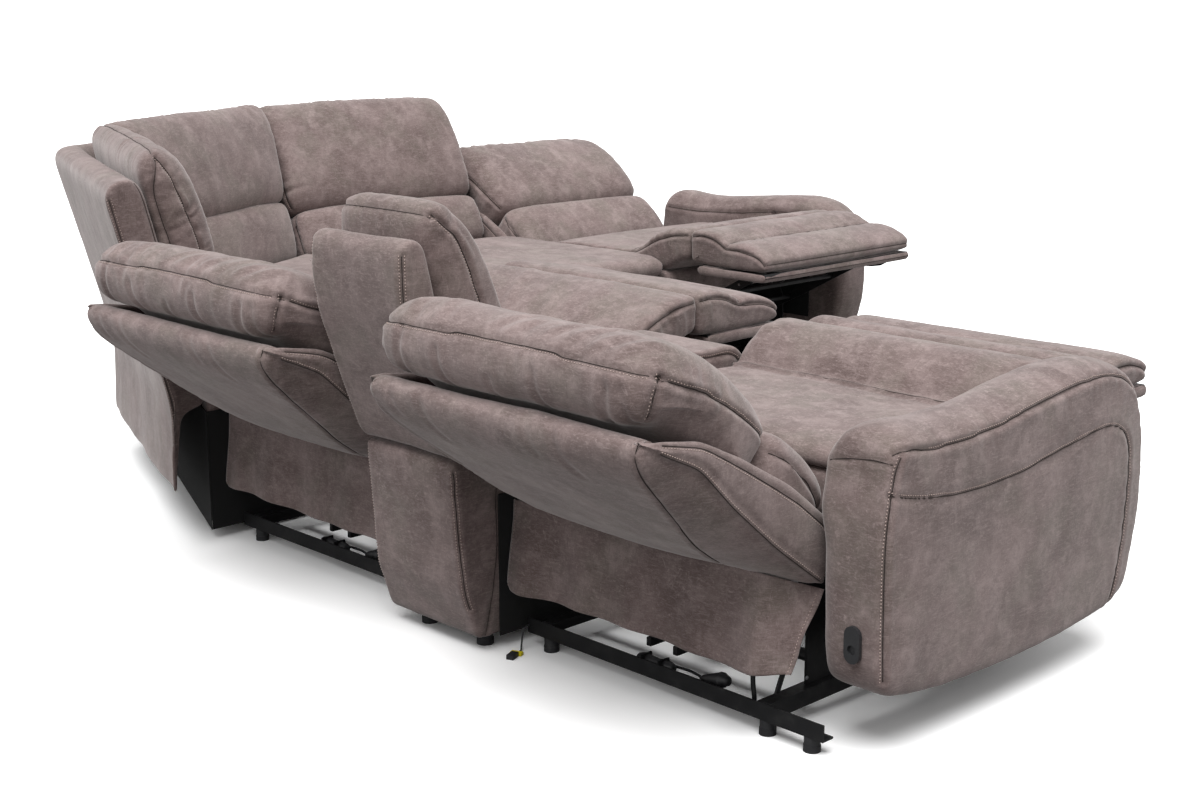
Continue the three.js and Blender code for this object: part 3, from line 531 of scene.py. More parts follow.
def noise_node(tree, vector, scale, detail=3.0, roughness=0.55, distortion=0.0):
    node = tree.nodes.new("ShaderNodeTexNoise")
    node.inputs["Distortion"].default_value = distortion
    node.inputs["Detail"].default_value = detail
    node.inputs["Roughness"].default_value = roughness
    if isinstance(scale, (int, float)):
        node.inputs["Scale"].default_value = scale
    else:
        tree.links.new(scale, node.inputs["Scale"])
    tree.links.new(vector, node.inputs["Vector"])
    return node


def ramp_node(tree, value, low, high, to_low=0.0, to_high=1.0):
    node = tree.nodes.new("ShaderNodeMapRange")
    node.interpolation_type = "SMOOTHSTEP"
    for key, number in (("From Min", low), ("From Max", high), ("To Min", to_low), ("To Max", to_high)):
        node.inputs[key].default_value = number
    tree.links.new(value, node.inputs["Value"])
    return node.outputs["Result"]


def mix_colour(tree, factor, a, b):
    node = tree.nodes.new("ShaderNodeMix")
    node.data_type = "RGBA"
    for socket, value in ((node.inputs[0], factor), (node.inputs[6], a), (node.inputs[7], b)):
        if isinstance(value, bpy.types.NodeSocket):
            tree.links.new(value, socket)
        else:
            socket.default_value = value
    return node.outputs[2]


def stretched(tree, vector, scale, turn=(0, 0, 0)):
    node = tree.nodes.new("ShaderNodeMapping")
    node.inputs["Scale"].default_value = scale
    node.inputs["Rotation"].default_value = turn
    tree.links.new(vector, node.inputs["Vector"])
    return node.outputs["Vector"]


def times(tree, a, b, operation="MULTIPLY"):
    node = tree.nodes.new("ShaderNodeMath")
    node.operation = operation
    for socket, value in ((node.inputs[0], a), (node.inputs[1], b)):
        if isinstance(value, bpy.types.NodeSocket):
            tree.links.new(value, socket)
        else:
            socket.default_value = value
    return node.outputs[0]


def suede_group():
    """Colour, roughness and height of a brushed microfibre with clouds, rubs and hair-fine streaks."""
    tree, given, out = new_group(
        "brushed_microfibre",
        [("Vector", "NodeSocketVector", (0, 0, 0)), ("Deep", "NodeSocketColor", (0.1, 0.08, 0.07, 1)),
         ("Body", "NodeSocketColor", (0.2, 0.17, 0.15, 1)),
         ("Rubbed", "NodeSocketColor", (0.3, 0.26, 0.24, 1)),
         ("Olive", "NodeSocketColor", (0.15, 0.14, 0.11, 1)), ("Seam", "NodeSocketFloat", 0.0)],
        [("Colour", "NodeSocketColor"), ("Roughness", "NodeSocketFloat"), ("Height", "NodeSocketFloat")],
    )
    v = given.outputs["Vector"]

    def streaks(scale, turn, *values):
        return noise_node(tree, stretched(tree, v, scale, turn), *values).outputs["Fac"]

    clouds = noise_node(tree, v, 5.2, 5.0, 0.6).outputs["Fac"]
    tint = streaks((1, 1, 1), (1.1, 0.4, 0.8), 6.0, 5.0, 0.6)
    mottles = streaks((1, 1.3, 1.1), (0.4, 0.2, 0.3), 14.0, 11.0, 0.68, 0.4)
    nap = noise_node(tree, v, 430.0, 4.0, 0.75).outputs["Fac"]
    brushed = streaks((1, 1, 4), (0.6, 0.5, 0.8), 46.0, 6.0, 0.7, 1.0)
    combed = streaks((4, 1, 1), (0.2, 0.9, 0.5), 52.0, 6.0, 0.7, 1.0)
    hairs = streaks((1, 1, 9), (0.9, 0.5, 0.2), 62.0, 5.0, 0.7, 1.6)
    scratches = streaks((1, 8, 1), (0.3, 0.7, 1.2), 55.0, 5.0, 0.7, 1.8)
    deep, rubbed = given.outputs["Deep"], given.outputs["Rubbed"]
    # Each layer's mask runs from one value to another and lays its share of a colour over the ones below
    layers = [
        (clouds, 0.34, 0.64, 0.0, 1.0, given.outputs["Body"]),
        (tint, 0.44, 0.64, 0.0, 0.60, given.outputs["Olive"]),
        (mottles, 0.44, 0.76, 0.0, 0.70, rubbed),
        (mottles, 0.26, 0.52, 0.55, 0.0, deep),
        (brushed, 0.46, 0.70, 0.0, 0.50, rubbed),
        (combed, 0.30, 0.52, 0.50, 0.0, deep),
        (hairs, 0.54, 0.66, 0.0, 0.65, rubbed),
        (scratches, 0.55, 0.67, 0.0, 0.60, rubbed),
        (nap, 0.3, 0.7, 0.22, 0.0, (0.03, 0.024, 0.021, 1)),
    ]
    body = deep
    for mask, low, high, at_low, at_high, over in layers:
        body = mix_colour(tree, ramp_node(tree, mask, low, high, at_low, at_high), body, over)
    # Painted shade in the seam grooves: the Seam input darkens the colour towards a dark brown
    body = mix_colour(tree, times(tree, given.outputs["Seam"], 0.30), body, (0.030, 0.022, 0.019, 1))
    tree.links.new(body, out.inputs["Colour"])
    tree.links.new(ramp_node(tree, mottles, 0.35, 0.75, 0.92, 0.76), out.inputs["Roughness"])
    height = times(tree, nap, 0.30)
    height = times(tree, height, times(tree, brushed, 0.5), "ADD")
    height = times(tree, height, times(tree, mottles, 0.5), "ADD")
    tree.links.new(height, out.inputs["Height"])
    return tree


def grain_group():
    """Fine orange-peel of a powder coat, with rubbed and dusty places."""
    tree, given, out = new_group(
        "coat_grain",
        [("Vector", "NodeSocketVector", (0, 0, 0)), ("Coat", "NodeSocketColor", (0.01, 0.01, 0.01, 1)),
         ("Dust", "NodeSocketColor", (0.1, 0.1, 0.1, 1)), ("Scale", "NodeSocketFloat", 400.0)],
        [("Colour", "NodeSocketColor"), ("Roughness", "NodeSocketFloat"), ("Height", "NodeSocketFloat")],
    )
    v = given.outputs["Vector"]
    fine = noise_node(tree, v, given.outputs["Scale"], 2.0, 0.5).outputs["Fac"]
    dust = noise_node(tree, v, 30.0, 5.0, 0.7).outputs["Fac"]
    share = ramp_node(tree, dust, 0.5, 0.78, 0.0, 0.5)
    tree.links.new(mix_colour(tree, share, given.outputs["Coat"], given.outputs["Dust"]),
                   out.inputs["Colour"])
    tree.links.new(ramp_node(tree, dust, 0.35, 0.7, 0.34, 0.62), out.inputs["Roughness"])
    tree.links.new(fine, out.inputs["Height"])
    return tree


def weave_group():
    """Crossed threads of a plain lining."""
    tree, given, out = new_group(
        "plain_weave",
        [("Vector", "NodeSocketVector", (0, 0, 0)), ("Thread", "NodeSocketColor", (0.02, 0.02, 0.02, 1)),
         ("Between", "NodeSocketColor", (0.005, 0.005, 0.005, 1)), ("Scale", "NodeSocketFloat", 220.0)],
        [("Colour", "NodeSocketColor"), ("Height", "NodeSocketFloat")],
    )
    heights = []
    for turn in ((0, 0, 0), (0, 0, math.pi / 2)):
        wave = tree.nodes.new("ShaderNodeTexWave")
        wave.bands_direction = "DIAGONAL"
        wave.inputs["Distortion"].default_value = 1.2
        tree.links.new(given.outputs["Scale"], wave.inputs["Scale"])
        tree.links.new(stretched(tree, given.outputs["Vector"], (1, 1, 1), turn), wave.inputs["Vector"])
        heights.append(wave.outputs["Fac"])
    height = times(tree, heights[0], heights[1])
    cloud = noise_node(tree, given.outputs["Vector"], 14.0, 4.0).outputs["Fac"]
    both = times(tree, height, ramp_node(tree, cloud, 0.3, 0.7, 0.5, 1.0))
    tree.links.new(mix_colour(tree, both, given.outputs["Between"], given.outputs["Thread"]),
                   out.inputs["Colour"])
    tree.links.new(height, out.inputs["Height"])
    return tree


SUEDE = suede_group()
GRAIN = grain_group()
WEAVE = weave_group()


def new_material(name, colour, metallic=0.0, roughness=0.6):
    material = bpy.data.materials.new(name)
    material.use_nodes = True
    material.diffuse_color = colour
    bsdf = material.node_tree.nodes["Principled BSDF"]
    bsdf.inputs["Base Color"].default_value = colour
    bsdf.inputs["Metallic"].default_value = metallic
    bsdf.inputs["Roughness"].default_value = roughness
    return material, material.node_tree, bsdf


def place_group(tree, group, values):
    node = tree.nodes.new("ShaderNodeGroup")
    node.node_tree = group
    where = tree.nodes.new("ShaderNodeTexCoord")
    tree.links.new(where.outputs["Object"], node.inputs["Vector"])
    for label, value in values.items():
        node.inputs[label].default_value = value
    return node


def bumped(tree, bsdf, height, strength, distance):
    bump = tree.nodes.new("ShaderNodeBump")
    bump.inputs["Strength"].default_value = strength
    bump.inputs["Distance"].default_value = distance
    tree.links.new(height, bump.inputs["Height"])
    tree.links.new(bump.outputs["Normal"], bsdf.inputs["Normal"])


def suede_finish(name, deep, body, rubbed, olive, sheen=0.40):
    material, tree, bsdf = new_material(name, body, 0.0, 0.85)
    node = place_group(tree, SUEDE, {"Deep": deep, "Body": body, "Rubbed": rubbed, "Olive": olive})
    # The seam attribute holds the painted shade along sewn lines that drape marks
    seam = tree.nodes.new("ShaderNodeAttribute")
    seam.attribute_name = "seam"
    tree.links.new(seam.outputs["Fac"], node.inputs["Seam"])
    tree.links.new(node.outputs["Colour"], bsdf.inputs["Base Color"])
    tree.links.new(node.outputs["Roughness"], bsdf.inputs["Roughness"])
    bumped(tree, bsdf, node.outputs["Height"], 0.35, 0.0012)
    bsdf.inputs["Sheen Weight"].default_value = sheen
    bsdf.inputs["Sheen Roughness"].default_value = 0.45
    bsdf.inputs["Sheen Tint"].default_value = (0.96, 0.91, 0.90, 1)
    bsdf.inputs["Specular IOR Level"].default_value = 0.22
    return material


def coated_finish(name, coat, dust, metallic, scale, strength=0.12):
    material, tree, bsdf = new_material(name, coat, metallic, 0.42)
    node = place_group(tree, GRAIN, {"Coat": coat, "Dust": dust, "Scale": scale})
    tree.links.new(node.outputs["Colour"], bsdf.inputs["Base Color"])
    tree.links.new(node.outputs["Roughness"], bsdf.inputs["Roughness"])
    bumped(tree, bsdf, node.outputs["Height"], strength, 0.0003)
    return material


def woven_finish(name, thread, between, scale, roughness=0.9):
    material, tree, bsdf = new_material(name, thread, 0.0, roughness)
    node = place_group(tree, WEAVE, {"Thread": thread, "Between": between, "Scale": scale})
    tree.links.new(node.outputs["Colour"], bsdf.inputs["Base Color"])
    bumped(tree, bsdf, node.outputs["Height"], 0.4, 0.0005)
    return material


suede = suede_finish("taupe_suede", (0.112, 0.078, 0.073, 1), (0.194, 0.143, 0.136, 1),
                     (0.320, 0.250, 0.240, 1), (0.150, 0.128, 0.108, 1))
lining = woven_finish("black_dust_cloth", (0.016, 0.016, 0.017, 1), (0.006, 0.006, 0.006, 1), 260.0)
steel = coated_finish("black_powder_coat", (0.012, 0.012, 0.013, 1), (0.05, 0.048, 0.046, 1), 0.35, 700.0)
bright = coated_finish("zinc_rivets", (0.32, 0.32, 0.33, 1), (0.12, 0.12, 0.12, 1), 0.9, 500.0)
moulded = coated_finish("charcoal_plastic", (0.02, 0.02, 0.022, 1), (0.07, 0.07, 0.07, 1), 0.0, 900.0, 0.2)
tag_yellow = coated_finish("yellow_tag", (0.72, 0.60, 0.02, 1), (0.55, 0.46, 0.05, 1), 0.0, 300.0)
thread = woven_finish("taupe_thread", (0.60, 0.48, 0.44, 1), (0.36, 0.27, 0.24, 1), 900.0, 0.6)
# Dark finish of the tubes laid in the seams as their painted shadow
joint_shadow_finish = woven_finish("joint_shadow", (0.040, 0.026, 0.022, 1), (0.022, 0.015, 0.013, 1), 900.0, 0.9)


# Reclining back: shell with its wings, head cushion and lumbar cushion
HEAD = [(-0.048, 0.297), (-0.032, 0.2765), (0.016, 0.2765), (0.064, 0.2765), (0.101, 0.301),
        (0.112, 0.362), (0.110, 0.441), (0.096, 0.519), (0.067, 0.591), (0.032, 0.626), (-0.008, 0.637),
        (-0.042, 0.627), (-0.064, 0.605), (-0.078, 0.577), (-0.075, 0.554), (-0.060, 0.545),
        (-0.049, 0.52), (-0.048, 0.42)]
LUMBAR_SHARES = [(0, 0.3), (0.34, 0.04), (0.7, 0), (0.92, 0.1), (1, 0.36), (1.0, 0.66), (0.94, 0.9),
                 (0.78, 1), (0.4, 1), (0.1, 1), (0, 0.93), (0, 0.6)]
# How far the back's cushions press over the inner side of the wings
CUSHION_OVERLAP = 0.014
CUSHION_REAR = -SHELL_DEPTH + 0.050 + WING_WIDTH + TOUCH


def back_outline(shares, bottom, top):
    return reclined(flowing(shared(shares, CUSHION_REAR, bottom, BACK_FRONT - CUSHION_REAR, top - bottom)))


def on_back(x, points):
    """Points of a line on one side of the leaning back, at x across."""
    p = reclined(points)
    return [(x, y, z) for y, z in p]


HEAD_DENTS = [(0.05, 0.7), (0.12, 0.9), (0.31, 0.6), (0.47, 0.3), (0.66, 0.5), (0.86, 0.8), (0.94, 0.6)]
HEAD_REAR = [(-0.062, 0.548), (-0.077, 0.562), (-0.079, 0.580), (-0.068, 0.602), (-0.048, 0.622),
             (-0.026, 0.632)]
HEAD_OVER = [(-0.002, 0.636), (0.024, 0.630), (0.050, 0.610), (0.072, 0.582), (0.088, 0.545)]
HEAD_FRONT = [(0.001, 0.598), (0.014, 0.553), (0.037, 0.499), (0.053, 0.435), (0.069, 0.343), (0.074, 0.283)]
HEAD_SIDE = [(0.001, 0.598), (-0.019, 0.594), (-0.040, 0.582), (-0.060, 0.564), (-0.074, 0.552)]


def head_cushion(m):
    inset = 2 * GAP + WING_WIDTH + TOUCH - CUSHION_OVERLAP
    left, right = inset, m.width - inset
    loop = reclined(flowing(HEAD))
    crest = reclined([(-0.014, 0.634)])[0]
    tee = reclined([HEAD_FRONT[0]])[0]
    rear_seam = [(lerp(left, right, t), crest[0], crest[1] - 0.004 * math.sin(t * 9))
                 for t in np.linspace(0.03, 0.97, 60)]
    rear_seam = [(left, *tee), *rear_seam, (right, *tee)]
    seams = [Seam(rear_seam, gather=0.0045, reach=0.06, pitch=0.03, stitch=1)]
    folds = []
    for x, out in ((left, -1), (right, 1)):
        seams.append(Seam(on_back(x + out * 0.006, HEAD_FRONT), gather=0.0055, reach=0.05, pitch=0.022,
                          stitch=-out))
        seams.append(Seam(on_back(x - out * 0.004, HEAD_SIDE), gather=0.003, reach=0.03, stitch=out))
    for k, (share, size) in enumerate(HEAD_DENTS):
        x = lerp(left, right, share)
        rear = reclined(HEAD_REAR[: 3 + round(3 * size)])
        lean = 0.010 * (1 if k % 2 else -1) + 0.02 * (share - 0.5)
        line = [(x + lean * n / 3, y, z) for n, (y, z) in enumerate(rear)]
        seams.append(crease(line, depth=0.002 + 0.003 * size, width=0.006 + 0.002 * size))
    for k, share in enumerate((0.14, 0.26, 0.42, 0.50, 0.61, 0.70, 0.80, 0.88)):
        x = lerp(left, right, share)
        over = reclined(HEAD_OVER[: 3 + k % 3])
        lean = 0.020 if share > 0.4 else -0.014
        line = [(x + lean * n, y, z) for n, (y, z) in enumerate(over)]
        folds.append((line, 0.0060 - 0.0010 * (k % 3), 0.012))
        folds.append(([(a + 0.022, y, z) for a, y, z in line], -0.005, 0.009))
    return cushion(f"{m.prefix}_head_pillow", m, loop, straight(left, right), m.body("back"),
                   [f"{m.prefix}_head_cushion"], seams, end_round=0.042, crown=0.010, bulge=0.014,
                   sag=0.004, seed=11 + len(m.prefix), folds=folds, rounds=12)


def lumbar_cushion(m):
    inset = 2 * GAP + WING_WIDTH + TOUCH - CUSHION_OVERLAP
    left, right = inset, m.width - inset
    loop = back_outline(LUMBAR_SHARES, LUMBAR_BOTTOM, LUMBAR_TOP)
    seams = [Seam(on_back(x, [(0.062, 0.28), (0.070, 0.20), (0.066, 0.12), (0.05, 0.07)]), gather=0.004,
                  reach=0.04) for x in (left, right)]
    return cushion(f"{m.prefix}_lumbar_pillow", m, loop, straight(left, right), m.body("back"),
                   [f"{m.prefix}_lumbar_cushion"], seams, end_round=0.036, crown=0.01, bulge=0.008,
                   sag=0.004, seed=23 + len(m.prefix))


# Side view of the reclined shell, from the bottom up: the wing's front edge and rear ridge, the rear panel
# outside and the pan inside, and how far the gusset draws the panel's edge in at a share of its height
WING_FRONT = [(0.049, 0.065), (0.039, 0.201), (0.004, 0.349), (-0.029, 0.460), (-0.084, 0.546),
              (-0.108, 0.573)]
WING_RIDGE = [(-0.051, -0.031), (-0.071, 0.156), (-0.076, 0.314), (-0.070, 0.436), (-0.100, 0.530),
              (-0.113, 0.572)]
PANEL = [(-0.098, 0.078), (-0.121, 0.150), (-0.134, 0.2335), (-0.141, 0.36), (-0.146, 0.45), (-0.147, 0.500),
         (-0.141, 0.540), (-0.127, 0.567), (-0.106, 0.578)]
PAN = [(-0.046, 0.084), (-0.069, 0.150), (-0.082, 0.2335), (-0.089, 0.36), (-0.094, 0.45), (-0.093, 0.500),
       (-0.088, 0.525), (-0.083, 0.545), (-0.079, 0.553)]
GUSSET_INSET = [(0.150, 0.0), (0.118, 0.25), (0.078, 0.5), (0.042, 0.72), (0.024, 0.88), (0.022, 1.0)]
WING_LIP = 0.0105


def along_path(points, t):
    """The place at share t of the length of a line of u and v values."""
    p = np.array(points, float)
    marks = np.concatenate([[0], np.cumsum(np.linalg.norm(np.diff(p, axis=0), axis=1))])
    marks /= marks[-1]
    return np.array([np.interp(t, marks, p[:, 0]), np.interp(t, marks, p[:, 1])])


def gusset_inset(t):
    inset, at = zip(*GUSSET_INSET)
    return float(np.interp(t, at, inset))


def shell_ring(left, right, t):
    """One ring round the tray of a reclined back: outside over wings, gussets and panel, then back inside."""
    front, ridge, panel, pan = (along_path(line, t) for line in (WING_FRONT, WING_RIDGE, PANEL, PAN))
    bevel = gusset_inset(t)
    close = max(0, (t - 0.91) / 0.09)
    hem = max(0, (0.03 - t) / 0.03)
    draw = 0.026 * (1 - math.sqrt(max(0, 1 - close ** 2))) + 0.004 * (1 - math.sqrt(max(0, 1 - hem ** 2)))
    edge = left + draw
    lip = WING_LIP * (1 - 0.6 * close)
    outer, inner = [], []
    for a in np.radians([90, 64, 38, 14]):
        u = front[0] - lip * (1 - math.sin(a))
        outer.append((edge + lip * (1 - math.cos(a)), u, front[1]))
        inner.append((edge + lip * (1 + math.cos(a)), u, front[1]))
    start = np.array([front[0] - lip, front[1]])
    for k in np.linspace(0, 1, 14):
        u, v = lerp(start, ridge, k)
        outer.append((edge - 0.007 * math.sin(math.pi * k), u, v))
        inner.append((edge + 2 * lip, *lerp(start, pan, k)))
    for k in np.linspace(0, 1, 14)[1:]:
        u, v = lerp(ridge, panel, k)
        outer.append((edge + bevel * k, u - 0.004 * math.sin(math.pi * k), v))
        inner.append((edge + lerp(2 * lip, max(bevel, 2.2 * lip), k), *pan))
    for k in np.linspace(0, 1, 56)[1:-1]:
        belly = 0.008 * math.sin(math.pi * k) ** 0.6 * (1 - close)
        outer.append((lerp(edge + bevel, left + right - edge - bevel, k), panel[0] - belly, panel[1]))
        wide = max(bevel, 2.2 * lip)
        inner.append((lerp(edge + wide, left + right - edge - wide, k), *pan))
    half = 4 + 14 + 13
    outer += [(left + right - x, u, v) for x, u, v in reversed(outer[:half])]
    inner += [(left + right - x, u, v) for x, u, v in reversed(inner[:half])]
    flat = np.array(outer + inner[::-1])
    return np.column_stack([flat[:, 0], reclined(flat[:, 1:])])


def back_shell(m):
    """Rear panel, bevelled gussets and side wings as one closed upholstered tray."""
    left, right = 2 * GAP, m.width - 2 * GAP
    grid = np.array([shell_ring(left, right, t) for t in np.linspace(0, 1, 58)])
    obj = mesh_from_grid(f"{m.prefix}_back_cover", grid, m)
    close_ends(obj, grid, m)
    obj["stitch_body"] = m.body("back")
    relaxed(obj.data, 6)
    finer(obj)
    shares = np.linspace(0.015, 0.985, 60)

    def line(flip, x, path, until=1.0):
        rows = [(x(t), *path(t)) for t in shares if t <= until]
        p = np.array([(left + right - a if flip else a, u, v) for a, u, v in rows])
        return np.column_stack([p[:, 0], reclined(p[:, 1:])])

    seams = []
    for flip in (False, True):
        side = -1 if flip else 1
        ridge = line(flip, lambda t: left, lambda t: along_path(WING_RIDGE, t), 0.94)
        joint = line(flip, lambda t: left + gusset_inset(t), lambda t: along_path(PANEL, t) - (0.003, 0))
        band = line(flip, lambda t: left - 0.002,
                    lambda t: lerp(along_path(WING_FRONT, t), along_path(WING_RIDGE, t), 0.2), 0.93)
        seams.append(Seam(ridge, depth=-0.0026, width=0.005, lip=-0.0016, stitch=-side))
        seams.append(Seam(joint, depth=0.0028, width=0.004, gather=0.0022, reach=0.03, pitch=0.016,
                          lip=0.0008))
        seams.append(Seam(band, depth=0.0016, width=0.004, lip=0.0004, stitch=side))
    for k, share in enumerate((0.10, 0.22, 0.61, 0.70)):
        x = lerp(left, right, share)
        fold = reclined([(-0.106, 0.580), (-0.132, 0.562), (-0.147, 0.525), (-0.148, 0.48)][: 3 + k % 2])
        seams.append(crease([(x + 0.012 * n, y, z) for n, (y, z) in enumerate(fold)], depth=0.0016,
                            width=0.008))
    slack = reclined([(-0.146, 0.53), (-0.150, 0.44), (-0.148, 0.34)])
    seams.append(crease([(left + 0.030 + 0.035 * n, y, z) for n, (y, z) in enumerate(slack)],
                        depth=-0.0018, width=0.006))
    drape(obj, m, seams, sag=0.0028, seed=5 + len(m.prefix))
    return finished(obj, m.body("back"), suede, [f"{m.prefix}_back_shell"])


def close_ends(obj, grid, module):
    """Bridges the outer and the inner half of the first and last rings, so that the tray is closed."""
    mesh = obj.data
    bm = bmesh.new()
    bm.from_mesh(mesh)
    rim = sorted({v for e in bm.edges if e.is_boundary for v in e.verts}, key=lambda v: v.index)
    half = grid.shape[1] // 2
    for ring in (grid[0], grid[-1]):
        found = [min(rim, key=lambda v: (v.co - Vector(p)).length_squared) for p in module.row(ring)]
        for k in range(half - 1):
            corners = list(dict.fromkeys([found[k], found[k + 1], found[-k - 2], found[-k - 1]]))
            if len(corners) >= 3 and not bm.faces.get(corners):
                bm.faces.new(corners)
    bmesh.ops.recalc_face_normals(bm, faces=bm.faces)
    bm.to_mesh(mesh)
    bm.free()
    mesh.shade_smooth()
    mesh.update()


# Seats and footrests
NEAR_SEAT = [(0.392, 0.470), (0.405, 0.462), (0.60, 0.461), (0.80, 0.461), (0.955, 0.462), (0.985, 0.474),
             (1.025, 0.500), (1.052, 0.535), (1.052, 0.568), (1.028, 0.588), (0.985, 0.597),
             (0.940, 0.590), (0.890, 0.560), (0.858, 0.524), (0.842, 0.500), (0.815, 0.506), (0.72, 0.509),
             (0.58, 0.510), (0.46, 0.506), (0.405, 0.496), (0.389, 0.484)]
LONG_SEAT = [(0.392, 0.470), (0.405, 0.462), (0.60, 0.461), (0.80, 0.461), (0.950, 0.462), (0.985, 0.482),
             (1.020, 0.496), (1.050, 0.504), (1.0594, 0.518), (1.0596, 0.560), (1.0594, 0.596),
             (1.035, 0.6035), (0.985, 0.599), (0.930, 0.583), (0.880, 0.558), (0.842, 0.530),
             (0.80, 0.514), (0.72, 0.509), (0.58, 0.510), (0.46, 0.506), (0.405, 0.496), (0.389, 0.484)]
NEAR_PAD = [(1.066, 0.512), (1.080, 0.4945), (1.20, 0.4935), (1.33, 0.4935), (1.372, 0.498),
            (1.385, 0.515), (1.378, 0.540), (1.345, 0.556), (1.285, 0.567), (1.235, 0.566), (1.212, 0.552),
            (1.190, 0.566), (1.150, 0.582), (1.110, 0.583), (1.080, 0.566), (1.066, 0.538)]
LONG_PAD = [(1.0606, 0.508), (1.075, 0.4945), (1.20, 0.4935), (1.33, 0.4935), (1.372, 0.498),
            (1.385, 0.515), (1.380, 0.538), (1.345, 0.560), (1.290, 0.576), (1.245, 0.578), (1.219, 0.570),
            (1.197, 0.586), (1.160, 0.603), (1.110, 0.6065), (1.075, 0.6045), (1.0606, 0.598),
            (1.0604, 0.555)]


def on_side(x, points):
    return [(x, y, z) for y, z in points]


def seat(m):
    left, right = GAP + 0.001, m.width - GAP - 0.001
    long = m.prefix != "near"
    loop = flowing(LONG_SEAT if long else NEAR_SEAT)
    seams = []
    if not long:
        seams.append(Seam([(left, 0.842, 0.500), (right, 0.842, 0.500)], depth=0.006, width=0.007,
                          gather=0.003, reach=0.04))
    else:
        seams.append(Seam([(left + 0.02, 0.80, 0.514), (right - 0.02, 0.80, 0.514)], depth=0.002,
                          width=0.02, lip=0))
    top = [(0.43, 0.497), (0.60, 0.500), (0.78, 0.502), (0.85, 0.522), (0.92, 0.556), (0.99, 0.577),
           (1.055, 0.583)]
    if not long:
        top = [(0.43, 0.494), (0.60, 0.498), (0.80, 0.497), (0.85, 0.508), (0.91, 0.555), (0.98, 0.577),
               (1.035, 0.560)]
    for x in (left, right):
        seams.append(Seam(on_side(x, top), gather=0.006, reach=0.055, pitch=0.024))
    folds = []
    if m.prefix == "middle":
        for x0, x1, high in ((0.30, 0.16, 0.006), (0.46, 0.30, 0.005), (0.58, 0.47, 0.004)):
            folds.append((on_fold(x0, x1, 0.80, 1.055, 0.515, 0.603), high, 0.018))
    return cushion(f"{m.prefix}_seat_pad", m, loop, straight(left, right), m.body("seat"),
                   [f"{m.prefix}_seat_cushion"], seams, end_round=0.020, crown=0.004, bulge=0.002,
                   folds=folds, sag=0.003, seed=41 + len(m.prefix))


def on_fold(x0, x1, y0, y1, z0, z1):
    return [(lerp(x0, x1, t), lerp(y0, y1, t), lerp(z0, z1, math.sin(t * math.pi / 2)))
            for t in np.linspace(0, 1, 9)]


def footrest(m):
    inset = 0.008
    left, right = inset, m.width - inset
    long = m.prefix != "near"
    loop = flowing(LONG_PAD if long else NEAR_PAD)
    channel = 1.219 if long else 1.212
    level = 0.570 if long else 0.552
    seams = [Seam([(left, channel, level), (right, channel, level)], depth=0.004, gather=0.003, reach=0.03)]
    top = [(1.07, 0.583), (1.12, 0.588), (1.17, 0.578), (1.215, 0.553), (1.25, 0.556), (1.31, 0.551),
           (1.36, 0.534), (1.378, 0.517)]
    if not long:
        top = [(1.08, 0.545), (1.12, 0.562), (1.17, 0.558), (1.212, 0.538), (1.25, 0.548), (1.31, 0.545),
               (1.36, 0.531), (1.378, 0.515)]
    for x in (left, right):
        seams.append(Seam(on_side(x, top), gather=0.0045, reach=0.045, pitch=0.022))
    front = [(lerp(left + 0.01, right - 0.01, t), 1.384, 0.522) for t in np.linspace(0, 1, 12)]
    seams.append(Seam(front, depth=0.003, gather=0.001))
    cushion(f"{m.prefix}_foot_pad", m, loop, straight(left, right), m.body("footrest"),
            [f"{m.prefix}_footrest_pad"], seams, end_round=0.018, crown=0.003, bulge=0.002,
            sag=0.003, seed=51 + len(m.prefix))
    flap = cornered([(1.092, 0.4635, 0.010), (1.384, 0.4635, 0.011), (1.386, 0.4928, 0.010),
                     (1.092, 0.4928, 0.006)])
    cushion(f"{m.prefix}_board_cover", m, flap, straight(left - 0.001, right + 0.001), m.body("footrest"),
            (), [Seam([(left, 1.386, 0.478), (right, 1.386, 0.478)], depth=0.0015)], end_round=0.008,
            crown=0.0, bulge=0.001, sag=0.001, seed=57, fine=False)


def deck(m):
    """Upholstered front rail and sides of the seat under its cushion."""
    loop = cornered([(0.390, 0.364, 0.008), (0.972, 0.362, 0.045), (0.974, 0.4594, 0.02),
                     (0.390, 0.4594, 0.008)])
    ends = straight(GAP if m.side >= 0 else TOUCH, m.width - (GAP if m.side <= 0 else TOUCH))
    return cushion(f"{m.prefix}_seat_rail", m, loop, ends, m.body("seat"), [f"{m.prefix}_seat_deck"], (),
                   end_round=0.010, crown=0.0, bulge=0.0, sag=0.0008, seed=61, fine=False)


def smooth(t):
    t = min(max(t, 0), 1)
    return t * t * (3 - 2 * t)


